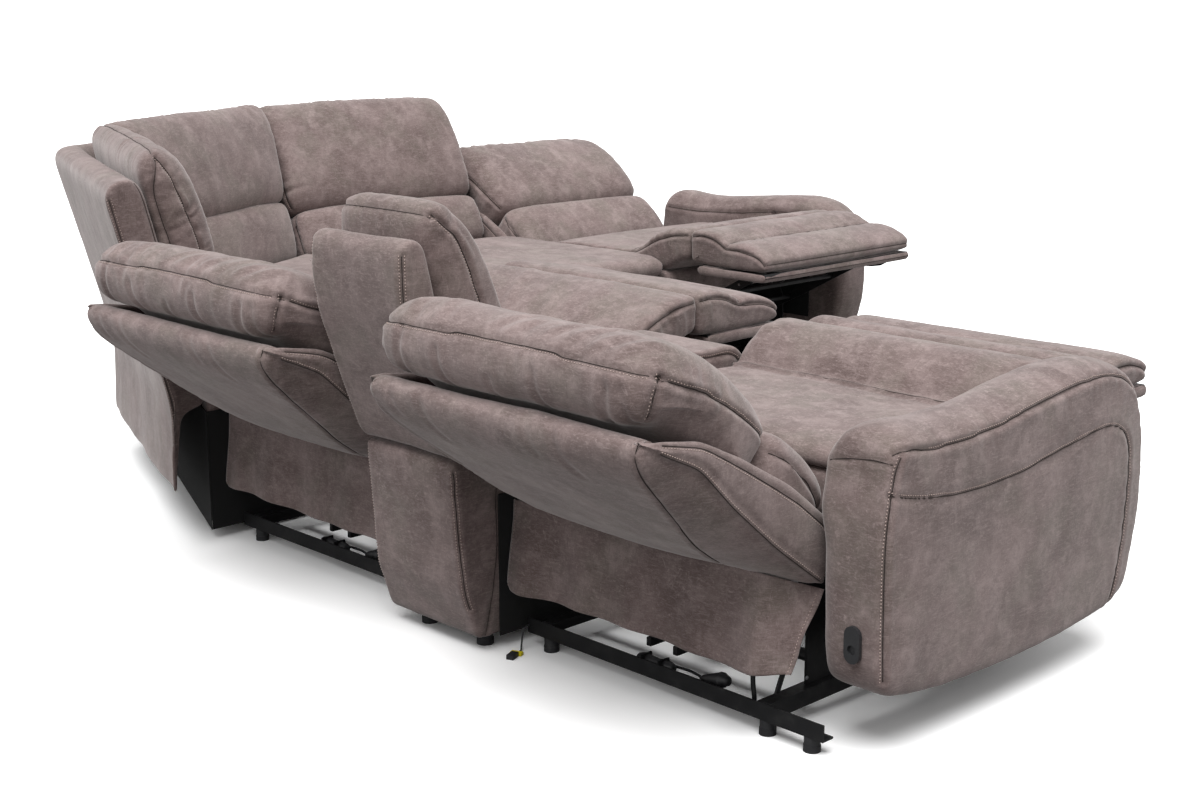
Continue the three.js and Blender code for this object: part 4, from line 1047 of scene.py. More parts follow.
def rear_skirt(m):
    """Cloth that hangs behind the seat from the carriage, with soft waves and an end wrapped round."""
    x0, x1 = 0.006, m.width - 0.014
    rows, columns = 44, 128
    flip = m.prefix == "far"
    points = []
    for r in range(rows + 1):
        down = r / rows
        line = []
        for c in range(columns + 1):
            t = c / columns
            wave = 0.006 * math.sin(t * 15 + 1.3 * math.sin(t * 5) + len(m.prefix))
            wave += 0.0035 * math.sin(t * 31 + 2)
            wrap = smooth((t - 0.905) / 0.095)
            left_edge, right_edge = t * (x1 - x0), (1 - t) * (x1 - x0)
            y = lerp(0.1612, 0.1380, down ** 1.2) + wave * smooth(down * 1.4) * (1 - wrap)
            y += wrap * lerp(0.094, 0.040, down ** 0.8)
            y += 0.004 * math.exp(-(right_edge / 0.02) ** 2) * math.sin(down * 9)
            y += 0.004 * math.exp(-(left_edge / 0.010) ** 2) * down
            y -= 0.006 * math.exp(-((left_edge - 0.055) / 0.030) ** 2) * smooth(down * 1.2)
            low = 0.1345 + 0.004 * math.sin(t * 9 + len(m.prefix))
            low += 0.012 * math.exp(-(left_edge / 0.012) ** 2)
            z = lerp(0.3190 - 0.036 * wrap, low, down)
            x = x0 + (x1 - x0) * t - 0.010 * math.exp(-(right_edge / 0.03) ** 2) * down
            line.append((m.width - x if flip else x, y, z))
        points.append(line)
    grid = np.array(points)
    obj = mesh_from_grid(f"{m.prefix}_skirt_cloth", grid, m, closed=False)
    thicken(obj, 0.0026)
    drape_plain(obj, seed=71 + len(m.prefix))
    finished(obj, m.body("seat"), suede, [f"{m.prefix}_rear_skirt"])
    tree = surface_of(obj.data)
    for column in (1, -2):
        edge = m.row(grid[3:, column]) + m.row([(0, -0.006, 0)])[0] - m.row([(0, 0, 0)])[0]
        stitch_paths.setdefault(m.body("seat"), []).append(laid(tree, edge, 0.004, 0.0003))
    return obj


def thicken(obj, thickness):
    solid = obj.modifiers.new("wall", "SOLIDIFY")
    solid.thickness = thickness
    solid.offset = 0
    applied(obj)


def applied(obj):
    """The object's mesh with its modifiers worked in, and none left on it."""
    graph = bpy.context.evaluated_depsgraph_get()
    made = bpy.data.meshes.new_from_object(obj.evaluated_get(graph))
    obj.modifiers.clear()
    old = obj.data
    obj.data = made
    bpy.data.meshes.remove(old)
    obj.data.shade_smooth()
    return obj


def drape_plain(obj, seed, amount=0.0015):
    """Soft unevenness for a thin sheet, the same on both of its sides so that its thickness stays."""
    mesh = obj.data
    co, _ = corners_of(mesh)
    co[:, 1] += amount * noise(co, 0.09, seed)
    mesh.vertices.foreach_set("co", co.ravel())
    # No painted seam shade on a plain sheet
    attribute = mesh.attributes.new("seam", "FLOAT", "POINT")
    attribute.data.foreach_set("value", np.zeros(len(co)))
    mesh.update()


# Arms
ARM_SIDE = [(0.208, 0.168, 0.03), (0.228, 0.124, 0.05), (0.36, 0.100, 0.2), (0.58, 0.090, 0.2),
            (0.80, 0.094, 0.2), (0.985, 0.112, 0.03), (1.040, 0.140, 0.06), (1.083, 0.300, 0.10),
            (1.078, 0.440, 0.08), (1.052, 0.548, 0.05), (1.000, 0.598, 0.05), (0.92, 0.617, 0.08),
            (0.82, 0.614, 0.10), (0.70, 0.600, 0.10), (0.54, 0.582, 0.15), (0.38, 0.580, 0.12),
            (0.285, 0.590, 0.06), (0.233, 0.582, 0.030), (0.214, 0.50, 0.1), (0.201, 0.42, 0.1),
            (0.202, 0.32, 0.1)]
ARM_PANEL = [(0.206, 0.502), (0.30, 0.482), (0.394, 0.470), (0.50, 0.466), (0.618, 0.471), (0.72, 0.485),
             (0.826, 0.500), (0.900, 0.508), (0.945, 0.504), (0.985, 0.480), (1.004, 0.440), (1.006, 0.35),
             (1.001, 0.250), (0.988, 0.18), (0.974, 0.118)]
ARM_TOP = [(0.222, 0.575), (0.26, 0.572), (0.341, 0.563), (0.43, 0.561), (0.543, 0.568), (0.65, 0.582),
           (0.743, 0.593), (0.83, 0.603), (0.923, 0.607), (0.984, 0.590), (1.030, 0.560), (1.062, 0.49),
           (1.082, 0.38), (1.085, 0.273), (1.060, 0.18), (1.035, 0.130)]

ARM_REAR_SEAM = [(0.242, 0.566), (0.224, 0.52), (0.208, 0.43), (0.208, 0.32), (0.216, 0.16)]
ARM_INSIDE = [(0.25, 0.545), (0.40, 0.540), (0.6, 0.552), (0.8, 0.575), (0.95, 0.575), (1.02, 0.53)]
# Middle, half size and depth of the pocket that takes the rocker switch, forward and up
POCKET = (0.800, 0.548)
POCKET_HALF = (0.036, 0.0175)
POCKET_DEPTH = 0.0125


def arm(m):
    """Padded arm whose outer panel is boxed by a top and front band, with an inset panel line."""
    loop = cornered(ARM_SIDE)
    sign = m.side
    inner = m.width + TOUCH if sign > 0 else -TOUCH
    outer = inner + sign * ARM_WIDTH
    normals = outline_normals(loop)
    upward = np.clip(normals[:, 1], 0, 1)
    forward = np.clip(normals[:, 0], 0, 1)
    stations = [(0, 0.018, 0.0, 1.0), (0, 0.018, 0.0, 0.75), (0, 0.018, 0, 0.5), (0, 0.018, 0, 0.3),
                (0, 0.018, 0, 0.14), (0, 0.018, 0, 0.05), (0.0, 0.016, 0, 0), (0.003, 0.008, 0, 0),
                (0.008, 0.003, 0, 0), (0.016, 0.0, 0, 0)]
    for t in np.linspace(0.12, 0.86, 22):
        stations.append((t * ARM_WIDTH, 0.0, math.sin(math.pi * min(1, t / 0.95)) ** 0.8, 0))
    for a in np.radians([0, 18, 36, 54, 72, 90]):
        stations.append((ARM_WIDTH - 0.022 + 0.022 * math.sin(a), 0.022 * (1 - math.cos(a)),
                         0.3 * (1 - math.sin(a)), 0))
    for k in (0.04, 0.10, 0.18, 0.28, 0.4, 0.54, 0.7, 0.86, 1.0):
        stations.append((ARM_WIDTH + 0.007 * (1 - (1 - k) ** 2.5), 0.022, 0, k))
    count = len(loop)
    grid = []
    for distance, inset, crest, k in stations:
        lift = crest * 0.020 * upward + crest * 0.008 * forward
        flat = loop + normals * (lift - inset)[:, None]
        if k:
            flat = drawn_in(loop - normals * inset, k)
        tuck = 1 - math.sqrt(1 - max(0.0, 1 - distance / 0.060) ** 2)
        low = np.clip((0.460 - flat[:, 1]) / 0.08, 0, 1)
        flat[:, 0] += 0.052 * tuck * low * low * (3 - 2 * low) * np.clip((0.32 - flat[:, 0]) / 0.11, 0, 1)
        flat[:, 1] -= 0.032 * tuck * upward * np.clip((0.66 - flat[:, 0]) / 0.25, 0, 1)
        x = np.full(count, inner + sign * distance)
        grid.append(np.column_stack([x, flat]))
    obj = mesh_from_grid(f"{m.prefix}_arm_cover", np.array(grid), m)
    relaxed(obj.data, 4)
    finer(obj)
    obj["stitch_body"] = m.body("seat")
    panel = [(outer, y, z) for y, z in ARM_PANEL]
    top = [(outer - sign * 0.010, y, z) for y, z in ARM_TOP]
    rear = [(outer - sign * 0.004, y, z) for y, z in ARM_REAR_SEAM]
    inside = [(inner + sign * 0.012, y, z) for y, z in ARM_INSIDE]
    across = [(lerp(inner, outer, t), 0.222, 0.536 + 0.020 * math.sin(2 * t))
              for t in np.linspace(0.08, 0.95, 12)]
    seams = [
        Seam(top, gather=0.0028, reach=0.030, pitch=0.011, stitch=-sign),
        Seam(panel, depth=0.0035, stitch=-sign),
        Seam(rear, depth=0.004, stitch=sign),
        Seam(inside, depth=0.003),
        Seam(across, depth=0.0018, width=0.004),
    ]
    drape(obj, m, seams, sag=0.004, sag_scale=0.2, seed=81)
    cut_pocket(obj, m, inner, sign)
    return finished(obj, m.body("seat"), suede, [f"{m.prefix}_arm"])


def cut_pocket(obj, m, inner, sign):
    """Presses the switch's pocket into the inner face of the arm."""
    mesh = obj.data
    co, _ = corners_of(mesh)
    local = np.linalg.inv(np.array(m.matrix))
    p = co @ local[:3, :3].T + local[:3, 3]
    inside = np.all(np.abs(p[:, 1:] - POCKET) < POCKET_HALF, axis=1)
    facing = np.abs(p[:, 0] - inner) < 0.03
    p[inside & facing, 0] = inner + sign * POCKET_DEPTH
    mesh.vertices.foreach_set("co", m.row(p).ravel())
    mesh.update()


# Upright backs
UPPER_SHARES = [
    (0, 0.06), (0.1, 0.0), (0.4, -0.005), (0.7, 0.0), (0.88, 0.05), (0.98, 0.17), (1, 0.34), (0.965, 0.56),
    (0.87, 0.78), (0.70, 0.93), (0.46, 1.0), (0.2, 1.0), (0.03, 0.93), (0, 0.80), (0, 0.4),
]
LOWER_SHARES = [(0, 0.06), (0.1, 0), (0.5, 0), (0.8, 0.03), (0.96, 0.16), (1.0, 0.4), (1.0, 0.65),
                (0.95, 0.88), (0.84, 1.0), (0.5, 1.0), (0.12, 1.0), (0, 0.94), (0, 0.5)]


def upright_shell(name, m, lean, frames, bottom, top, nodes, foot_y, ends=(0, -1)):
    """Boxed upright back whose rear cloth runs on down behind the box to a free hem."""
    depth = SHELL_DEPTH + BACK_FRONT
    front = -SHELL_DEPTH + 0.4 * depth
    shell = [(-SHELL_DEPTH + 0.002, top - 0.16, 0.1), (-SHELL_DEPTH + 0.001, top - 0.018, 0.022),
             (-SHELL_DEPTH + 0.08 * depth, top + 0.003, 0.022), (-SHELL_DEPTH + 0.36 * depth, top - 0.004,
                                                                 0.022), (front, top - 0.06, 0.012),
             (front, bottom, 0.006), (-SHELL_DEPTH + 0.022, bottom, 0.01)]
    flat = leaned(shell, *lean)
    low = leaned([(-SHELL_DEPTH + 0.004, bottom + 0.03)], *lean)[0]
    outline = [(foot_y, PANEL_BOTTOM, 0.003), (low[0], low[1], 0.06), *[tuple(q) for q in flat],
               (foot_y + 0.0075, PANEL_BOTTOM, 0.003)]
    loop = cornered(outline)

    def sway(distance, points):
        drop = np.clip((0.42 - points[:, 1]) / (0.42 - PANEL_BOTTOM), 0, 1) ** 1.5
        wave = 0.0032 * math.sin(distance * 13 + 1.1) + 0.0016 * math.sin(distance * 27 + 0.4)
        hem = 0.004 * math.sin(distance * 8 + 0.7) + 0.0015 * math.sin(distance * 19)
        return points + np.column_stack([drop * (wave - 0.004), drop ** 3 * hem])

    seams = []
    for end in ends:
        (ox, oy), (fx, fy) = frames[end]
        rear = [(foot_y + 0.003, PANEL_BOTTOM + 0.01), (low[0] + 0.004, low[1])]
        upper = [(-SHELL_DEPTH + 0.008, v) for v in np.linspace(bottom + 0.06, top - 0.03, 20)]
        rear += [tuple(q) for q in leaned(upper, *lean)]
        seams.append(Seam([(ox + fx * y, oy + fy * y, z) for y, z in rear], depth=0.0025, gather=0.0035,
                          reach=0.014, pitch=0.010, stitch=2))
        cap = leaned([(-SHELL_DEPTH + 0.36 * depth, top - 0.012), (front - 0.004, top - 0.06),
                      (front - 0.004, bottom + 0.01)], *lean)
        seams.append(Seam([(ox + fx * y, oy + fy * y, z) for y, z in cap], depth=0.002, stitch=0))
    return cushion(name, m, loop, frames, "frame", nodes, seams, end_round=0.007, crown=0.0, bulge=0.0015,
                   sag=0.0025, seed=91, sway=sway)


def wedge_frames():
    a = np.array([WEDGE_WIDTH - GAP, 0.0])
    c = np.array([-WEDGE_BACKSET, WEDGE_WIDTH - GAP])
    b = np.array(WEDGE_CORNER)

    def cross(step):
        p, q = a + (0, step), c + (step, 0)
        r, s = b - a, c - b
        t = ((q[0] - p[0]) * s[1] - (q[1] - p[1]) * s[0]) / (r[0] * s[1] - r[1] * s[0])
        return p + r * t

    zero, one = cross(0.0), cross(1.0)
    mitre = (tuple(zero), tuple(one - zero))

    def short(end, gap):
        run = np.array(end) - zero
        return (tuple(zero + run / np.linalg.norm(run) * gap), tuple(one - zero))

    return ((tuple(a), (0, 1)), mitre, (tuple(c), (1, 0)), short(a, GAP / 2), short(c, GAP / 2))


def upright_cushions(name, m, lean, frames, split, top, lowest, nodes, seed, bulge=0.012):
    rear = -SHELL_DEPTH + 0.4 * (SHELL_DEPTH + BACK_FRONT) + TOUCH
    depth = BACK_FRONT - rear
    upper = leaned(flowing(shared(UPPER_SHARES, rear, split + TOUCH, depth, top - split)), *lean)
    lower = leaned(flowing(shared(LOWER_SHARES, rear, lowest, depth, split - lowest)), *lean)

    def side(end, points):
        (ox, oy), (fx, fy) = end
        return [(ox + fx * y, oy + fy * y, z) for y, z in leaned(points, *lean)]

    seams_up, seams_low = [], []
    crest = leaned([(rear + 0.36 * depth, top + 0.012)], *lean)[0]
    at, total = run_between(frames)
    over = []
    for t in np.linspace(0.012, total - 0.012, 50):
        (ox, oy), (fx, fy) = at(t)
        over.append((ox + fx * crest[0], oy + fy * crest[0], crest[1]))
    seams_up.append(Seam(over, depth=0.0035, gather=0.0050, reach=0.050, pitch=0.015))
    for end in (frames[0], frames[-1]):
        front = [(rear + 0.42 * depth, top - 0.012), (rear + 0.50 * depth, top - 0.06),
                 (rear + 0.58 * depth, top - 0.14), (rear + 0.66 * depth, lerp(top, split, 0.6)),
                 (rear + 0.70 * depth, split + 0.01)]
        vee = [(rear + 0.42 * depth, top - 0.012), (rear + 0.16 * depth, top - 0.09),
               (rear + 0.2 * depth, split + 0.1), (rear + 0.24 * depth, split + 0.01)]
        seams_up.append(Seam(side(end, front), gather=0.0085, reach=0.038, pitch=0.017, stitch=1))
        seams_up.append(Seam(side(end, vee), depth=0.004, gather=0.003, reach=0.03))
        seams_low.append(Seam(side(end, [(rear + 0.7 * depth, split), (rear + 0.74 * depth, lowest + 0.02)]),
                              gather=0.005, reach=0.05))
    cushion(f"{name}_upper", m, upper, frames, "frame", nodes[:1], seams_up, end_round=0.034, crown=0.005,
            bulge=bulge, sag=0.004, seed=seed)
    cushion(f"{name}_lumbar", m, lower, frames, "frame", nodes[1:], seams_low, end_round=0.032, crown=0.012,
            bulge=bulge - 0.002, sag=0.004, seed=seed + 3)


def plan_piece(name, m, outline, z0, z1, radius, nodes, seed, crown=0.0):
    """A boxed piece seen in plan, such as the corner seat, with a rounded top edge."""
    loop = cornered([(x, y, radius) for x, y in outline])
    normals = outline_normals(loop)
    centre = loop.mean(axis=0)
    grid = []
    height = z1 - z0
    edge = min(0.02, height * 0.4)
    for k in (1.0, 0.7, 0.4, 0.15):
        grid.append(np.column_stack([lerp(loop - normals * 0.006, centre, k), np.full(len(loop), z0)]))
    grid.append(np.column_stack([loop - normals * 0.006, np.full(len(loop), z0)]))
    for z in np.linspace(z0 + 0.006, z1 - edge, max(3, int(height / 0.03))):
        puff = 0.004 * math.sin(math.pi * (z - z0) / height)
        grid.append(np.column_stack([loop + normals * (puff - 0.002), np.full(len(loop), z)]))
    for a in np.radians([25, 50, 75, 90]):
        grid.append(np.column_stack([loop - normals * edge * (1 - math.cos(a)),
                                     np.full(len(loop), z1 - edge + edge * math.sin(a))]))
    for k in np.linspace(0.03, 1, 34):
        flat = lerp(loop - normals * edge, centre, k)
        grid.append(np.column_stack([flat, np.full(len(loop),
                                                   z1 + crown * math.sin(min(1, k * 1.6) * math.pi / 2))]))
    obj = mesh_from_grid(name, np.array(grid), m)
    obj["stitch_body"] = "frame"
    rim = [(x, y, z1 - edge) for x, y in np.vstack([loop, loop[:1]])]
    drape(obj, m, [Seam(rim, depth=0.0025, gather=0.002, reach=0.03)], sag=0.003, seed=seed)
    return finished(obj, "frame", suede, nodes)


# Where the lining behind the wedge's box starts and ends behind it, and how far past the module's side it reaches
REAR_LINING = (0.0045, 0.0065)
REAR_LINING_REACH = 1.006
# Heights along the leaning back: the shell's foot, the lower cushion's foot, the line between both cushions
SHELL_FOOT = 0.040
LOWER_FOOT = 0.126
WEDGE_SPLIT = 0.338
ARMLESS_SPLIT = 0.300


def build_wedge():
    m = wedge
    near_end, mitre, far_end, near_short, far_short = wedge_frames()
    lean = UPRIGHT_LEAN
    (x, y), forward = mitre
    bulged = ((x - 0.020, y - 0.012), forward)
    upright_shell("wedge_back_cover", m, lean, [near_end, bulged, far_end], 0.040, 0.634,
                  ["wedge_back_shell"], 0.0)
    upright_cushions("wedge_near_back", m, lean, [near_end, near_short], WEDGE_SPLIT, 0.672, LOWER_FOOT,
                     ["wedge_near_back_cushion"], 101)
    upright_cushions("wedge_far_back", m, lean, [far_short, far_end], WEDGE_SPLIT, 0.672, LOWER_FOOT,
                     ["wedge_far_back_cushion"], 107)
    low = leaned([(-SHELL_DEPTH + 0.4 * (SHELL_DEPTH + BACK_FRONT), SHELL_FOOT)], *lean)[0][0] + TOUCH

    def at(f, y):
        return np.array(f[0]) + np.array(f[1]) * y

    def plan(y, inset):
        nose = lerp(WEDGE_FRONT, WEDGE_WIDTH, 0.5)
        return [at(near_end, y), np.array([near_end[0][0], WEDGE_FRONT - inset]),
                np.array([nose - inset, nose - inset]), np.array([WEDGE_FRONT - inset, far_end[0][1]]),
                at(far_end, y), at(mitre, y)]

    for name, end in (("near", near_end), ("far", far_end)):
        corners = [at(mitre, low - out) for out in REAR_LINING]
        edges = [lerp(c, at(end, low - out), REAR_LINING_REACH) for c, out in zip(corners, REAR_LINING)]
        quad = [edges[0], *corners, edges[1]]
        rings = [[(x, y, z) for x, y in quad] for z in (0.026, 0.330)]
        sheet = ring_mesh("wedge_lining", rings, m)
        flatten(hard_piece(f"wedge_rear_lining_{name}", sheet, "frame", lining))
    plan_piece("wedge_box", m, plan(low, 0), BOX_BOTTOM, BOX_TOP, 0.012, ["wedge_base"], 111)
    plan_piece("wedge_seat_pad", m, plan(0.250, -0.004), BOX_TOP + TOUCH, WEDGE_SEAT_TOP + 0.004, 0.02,
               ["wedge_seat_cushion"], 113, crown=0.010)


def build_armless():
    m = armless
    frames = straight(GAP, m.width - GAP)
    upright_shell("armless_back_cover", m, ARMLESS_LEAN, frames, SHELL_FOOT, 0.640, ["armless_back_shell"],
                  -0.070)
    # The cushions leave the far recliner's back room to come upright beside them
    between_backs = straight(GAP + 0.002, m.width - GAP - 0.002)
    upright_cushions("armless_back", m, ARMLESS_LEAN, between_backs, ARMLESS_SPLIT, 0.690, LOWER_FOOT,
                     ["armless_upper_cushion", "armless_lumbar_cushion"], 121, bulge=0.003)
    rear = leaned([(-SHELL_DEPTH + 0.4 * (SHELL_DEPTH + BACK_FRONT), SHELL_FOOT)], *ARMLESS_LEAN)[0][0] + TOUCH
    x0, x1 = GAP, m.width + GAP - TOUCH
    plan_piece("armless_box", m, [(x0, rear), (x1, rear), (x1, ARMLESS_FRONT), (x0, ARMLESS_FRONT)],
               BOX_BOTTOM, BOX_TOP, 0.022, ["armless_base"], 127)
    start = SEAT_REAR / 2
    loop = flowing([(start, 0.445), (start + 0.02, BOX_TOP + TOUCH), (0.5, BOX_TOP + TOUCH),
                    (0.9, BOX_TOP + TOUCH), (0.955, 0.446), (0.970, 0.465), (0.966, 0.487), (0.945, 0.503),
                    (0.88, 0.509), (0.7, 0.508), (0.45, 0.507), (start + 0.04, 0.505), (start, 0.49)])
    ends = straight(GAP, m.width - GAP)
    edge = [(start + 0.02, 0.49), (0.5, 0.492), (0.85, 0.494), (0.95, 0.487), (0.964, 0.465)]
    seams = [Seam(on_side(x, edge), gather=0.004, reach=0.05, pitch=0.03) for x in (GAP, m.width - GAP)]
    cushion("armless_seat_pad", m, loop, ends, "frame", ["armless_seat_cushion"], seams, end_round=0.016,
            crown=0.006, bulge=0.003, seed=131)


# Console
def build_console():
    m = console
    left, right = GAP, m.width - GAP
    frames = straight(left, right)
    body = cornered([(0.064, 0.030, 0.006), (0.895, 0.030, 0.012), (0.900, 0.505, 0.03),
                     (0.862, 0.548, 0.03), (0.0627, 0.548, 0.006), (0.0625, 0.4257, 0.006),
                     (0.004, 0.4255, 0.012), (0.030, 0.135, 0.03), (0.048, 0.095, 0.02)])
    stitches = [Seam(on_side(x, [(0.006, 0.40), (0.018, 0.27), (0.029, 0.14), (0.045, 0.10)]), depth=0.003,
                     gather=0.002, reach=0.02, pitch=0.01, stitch=2) for x in (left, right)]
    front_edge = [(0.119, 0.420), (0.119, 0.20), (0.105, 0.12), (0.087, 0.035)]
    stitches += [Seam(on_side(x, front_edge), depth=0.002) for x in (left, right)]
    stitches += [Seam(on_side(x, [(0.08, 0.530), (0.5, 0.532), (0.85, 0.528), (0.885, 0.49),
                                  (0.886, 0.2)]), depth=0.003, gather=0.001, stitch=1 if x == left else -1)
                 for x in (left, right)]
    cushion("console_box", m, body, frames, "frame", ["console_body"], stitches, end_round=0.010,
            crown=0.0, bulge=0.002, sag=0.003, seed=141)
    shell = cornered([(0.001, 0.4268, 0.006), (0.060, 0.4268, 0.006), (-0.046, 0.835, 0.02),
                      (-0.050, 0.874, 0.018), (-0.090, 0.882, 0.022), (-0.113, 0.862, 0.022),
                      (-0.110, 0.74, 0.1), (-0.040, 0.535, 0.08)])
    edges = [Seam(on_side(x, [(-0.108, 0.850), (-0.106, 0.74), (-0.036, 0.535), (0.004, 0.430)]), depth=0.003,
                  gather=0.003, reach=0.022, pitch=0.010, stitch=2) for x in (left, right)]
    cushion("console_back_cover", m, shell, frames, "frame", ["console_back_shell"], edges,
            end_round=0.010, crown=0.0, bulge=0.002, sag=0.003, seed=143)
    pillow = flowing([(0.058, 0.556), (0.075, 0.5485), (0.13, 0.5485), (0.168, 0.556), (0.182, 0.61),
                      (0.168, 0.68), (0.142, 0.76), (0.104, 0.84), (0.055, 0.905), (0.010, 0.940),
                      (-0.028, 0.938), (-0.046, 0.900), (-0.042, 0.85), (-0.018, 0.76), (0.014, 0.66)])
    seams = []
    for x in (left, right):
        seams.append(Seam(on_side(x, [(-0.035, 0.925), (0.021, 0.880), (0.050, 0.82), (0.087, 0.719),
                                      (0.115, 0.62), (0.13, 0.56)]), gather=0.005, reach=0.05, pitch=0.024,
                          stitch=1))
    seams.append(Seam([(left, -0.036, 0.92), (right, -0.036, 0.92)], depth=0.003, gather=0.004, reach=0.04))
    cushion("console_pillow", m, pillow, straight(left - 0.001, right + 0.001), "frame",
            ["console_back_cushion"], seams, end_round=0.026, crown=0.008, bulge=0.008,
            sag=0.004, seed=147)


# The CAD solids that stay get their finishes
def finish_cad():
    for name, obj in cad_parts.items():
        if any(word in name for word in ("base_frame", "carriage", "links", "footrest_board")):
            chosen = steel
        elif name == "lead_tag":
            chosen = tag_yellow
        elif any(word in name for word in ("motor", "switch", "socket", "lead")):
            chosen = moulded
        else:
            continue
        obj.data.materials.clear()
        obj.data.materials.append(chosen)


# Small hard pieces: blocks, tubes and plates
def hard_piece(name, mesh, body, material):
    tidy_mesh(mesh, 0.00002)
    mesh.materials.append(material)
    obj = bpy.data.objects.new(name, mesh)
    bpy.context.scene.collection.objects.link(obj)
    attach(obj, body)
    return obj


def block(name, m, low, high, body, material, bevel=0.0015):
    bm = bmesh.new()
    bmesh.ops.create_cube(bm, size=1.0)
    low, high = np.array(low, float), np.array(high, float)
    corners = np.array([v.co[:] for v in bm.verts]) + 0.5
    for v, co in zip(bm.verts, m.row(low + corners * (high - low))):
        v.co = co
    bmesh.ops.bevel(bm, geom=list(bm.edges), offset=bevel, segments=2, affect="EDGES", profile=0.7)
    mesh = bpy.data.meshes.new(name)
    bm.to_mesh(mesh)
    bm.free()
    obj = hard_piece(name, mesh, body, material)
    flatten(obj)
    return obj


def flatten(obj):
    for polygon in obj.data.polygons:
        polygon.use_smooth = polygon.area < 1e-5


def ring_mesh(name, rings, m):
    """A closed mesh of rings of points, capped at both ends."""
    sides = len(rings[0])
    verts = m.row(np.concatenate(rings)).tolist()
    faces = [(r * sides + c, r * sides + (c + 1) % sides, (r + 1) * sides + (c + 1) % sides,
              (r + 1) * sides + c) for r in range(len(rings) - 1) for c in range(sides)]
    faces += [tuple(range(sides))[::-1], tuple((len(rings) - 1) * sides + c for c in range(sides))]
    mesh = bpy.data.meshes.new(name)
    mesh.from_pydata(verts, [], faces)
    return mesh


def tube_rings(line, radius, sides=10):
    """Rings of a tube along a line of points; radius is one value or one for each point."""
    rings = []
    radii = np.broadcast_to(radius, len(line))
    up = Vector((0, 0, 1))
    for k in range(len(line)):
        run = Vector(line[min(k + 1, len(line) - 1)] - line[max(k - 1, 0)]).normalized()
        across = run.cross(up)
        across = (across if across.length > 0.2 else run.cross(Vector((1, 0, 0)))).normalized()
        lift = across.cross(run)
        rings.append([Vector(line[k]) + (across * math.cos(a) + lift * math.sin(a)) * radii[k]
                      for a in np.linspace(0, 2 * math.pi, sides, endpoint=False)])
    return rings


def tube(name, m, points, radius, body, material, steps=6, sides=10):
    line = through(points, steps)
    radius = np.interp(np.linspace(0, 1, len(line)), np.linspace(0, 1, np.size(radius)), np.ravel(radius))
    return hard_piece(name, ring_mesh(name, tube_rings(line, radius, sides), m), body, material)


def plate_piece(name, m, outline, x0, x1, body, material):
    """A flat plate seen from the side, given as an outline of forward and up values."""
    rings = [[(x, y, z) for y, z in outline] for x in (x0, x1)]
    obj = hard_piece(name, ring_mesh(name, rings, m), body, material)
    flatten(obj)
    return obj


# How thick a lining is, and how far the boxes' ones stand out
LINING_THICKNESS = 0.0022
LINING_OUT = 0.0030


def hollow_lining(m, body, sides, y0, y1, z0, z1):
    """Black lining cloth on the sides of the boxes and under the seats."""
    for k, x in enumerate(sides):
        block(f"{m.prefix}_lining_{k}", m, (x, y0, z0), (x + LINING_THICKNESS, y1, z1), body, lining)


# Bolts, glides and feet, instanced from points with a direction each
head_points = {}


def add_heads(kind, body, m, points, axis):
    place = m.matrix.to_3x3() @ Vector(axis)
    for p in m.row(points):
        head_points.setdefault((kind, body), []).append((tuple(p), tuple(place)))


# Each kind's radius and height, its number of sides, and its head's share of that radius
HEADS = {
    "bolts": (0.0062, 0.0042, 8, 0.62),
    "rivets": (0.0042, 0.0024, 10, 0.7),
    "glides": (0.0165, 0.0298, 22, 0.93),
    "box_feet": (0.0185, 0.0300, 22, 0.9),
}


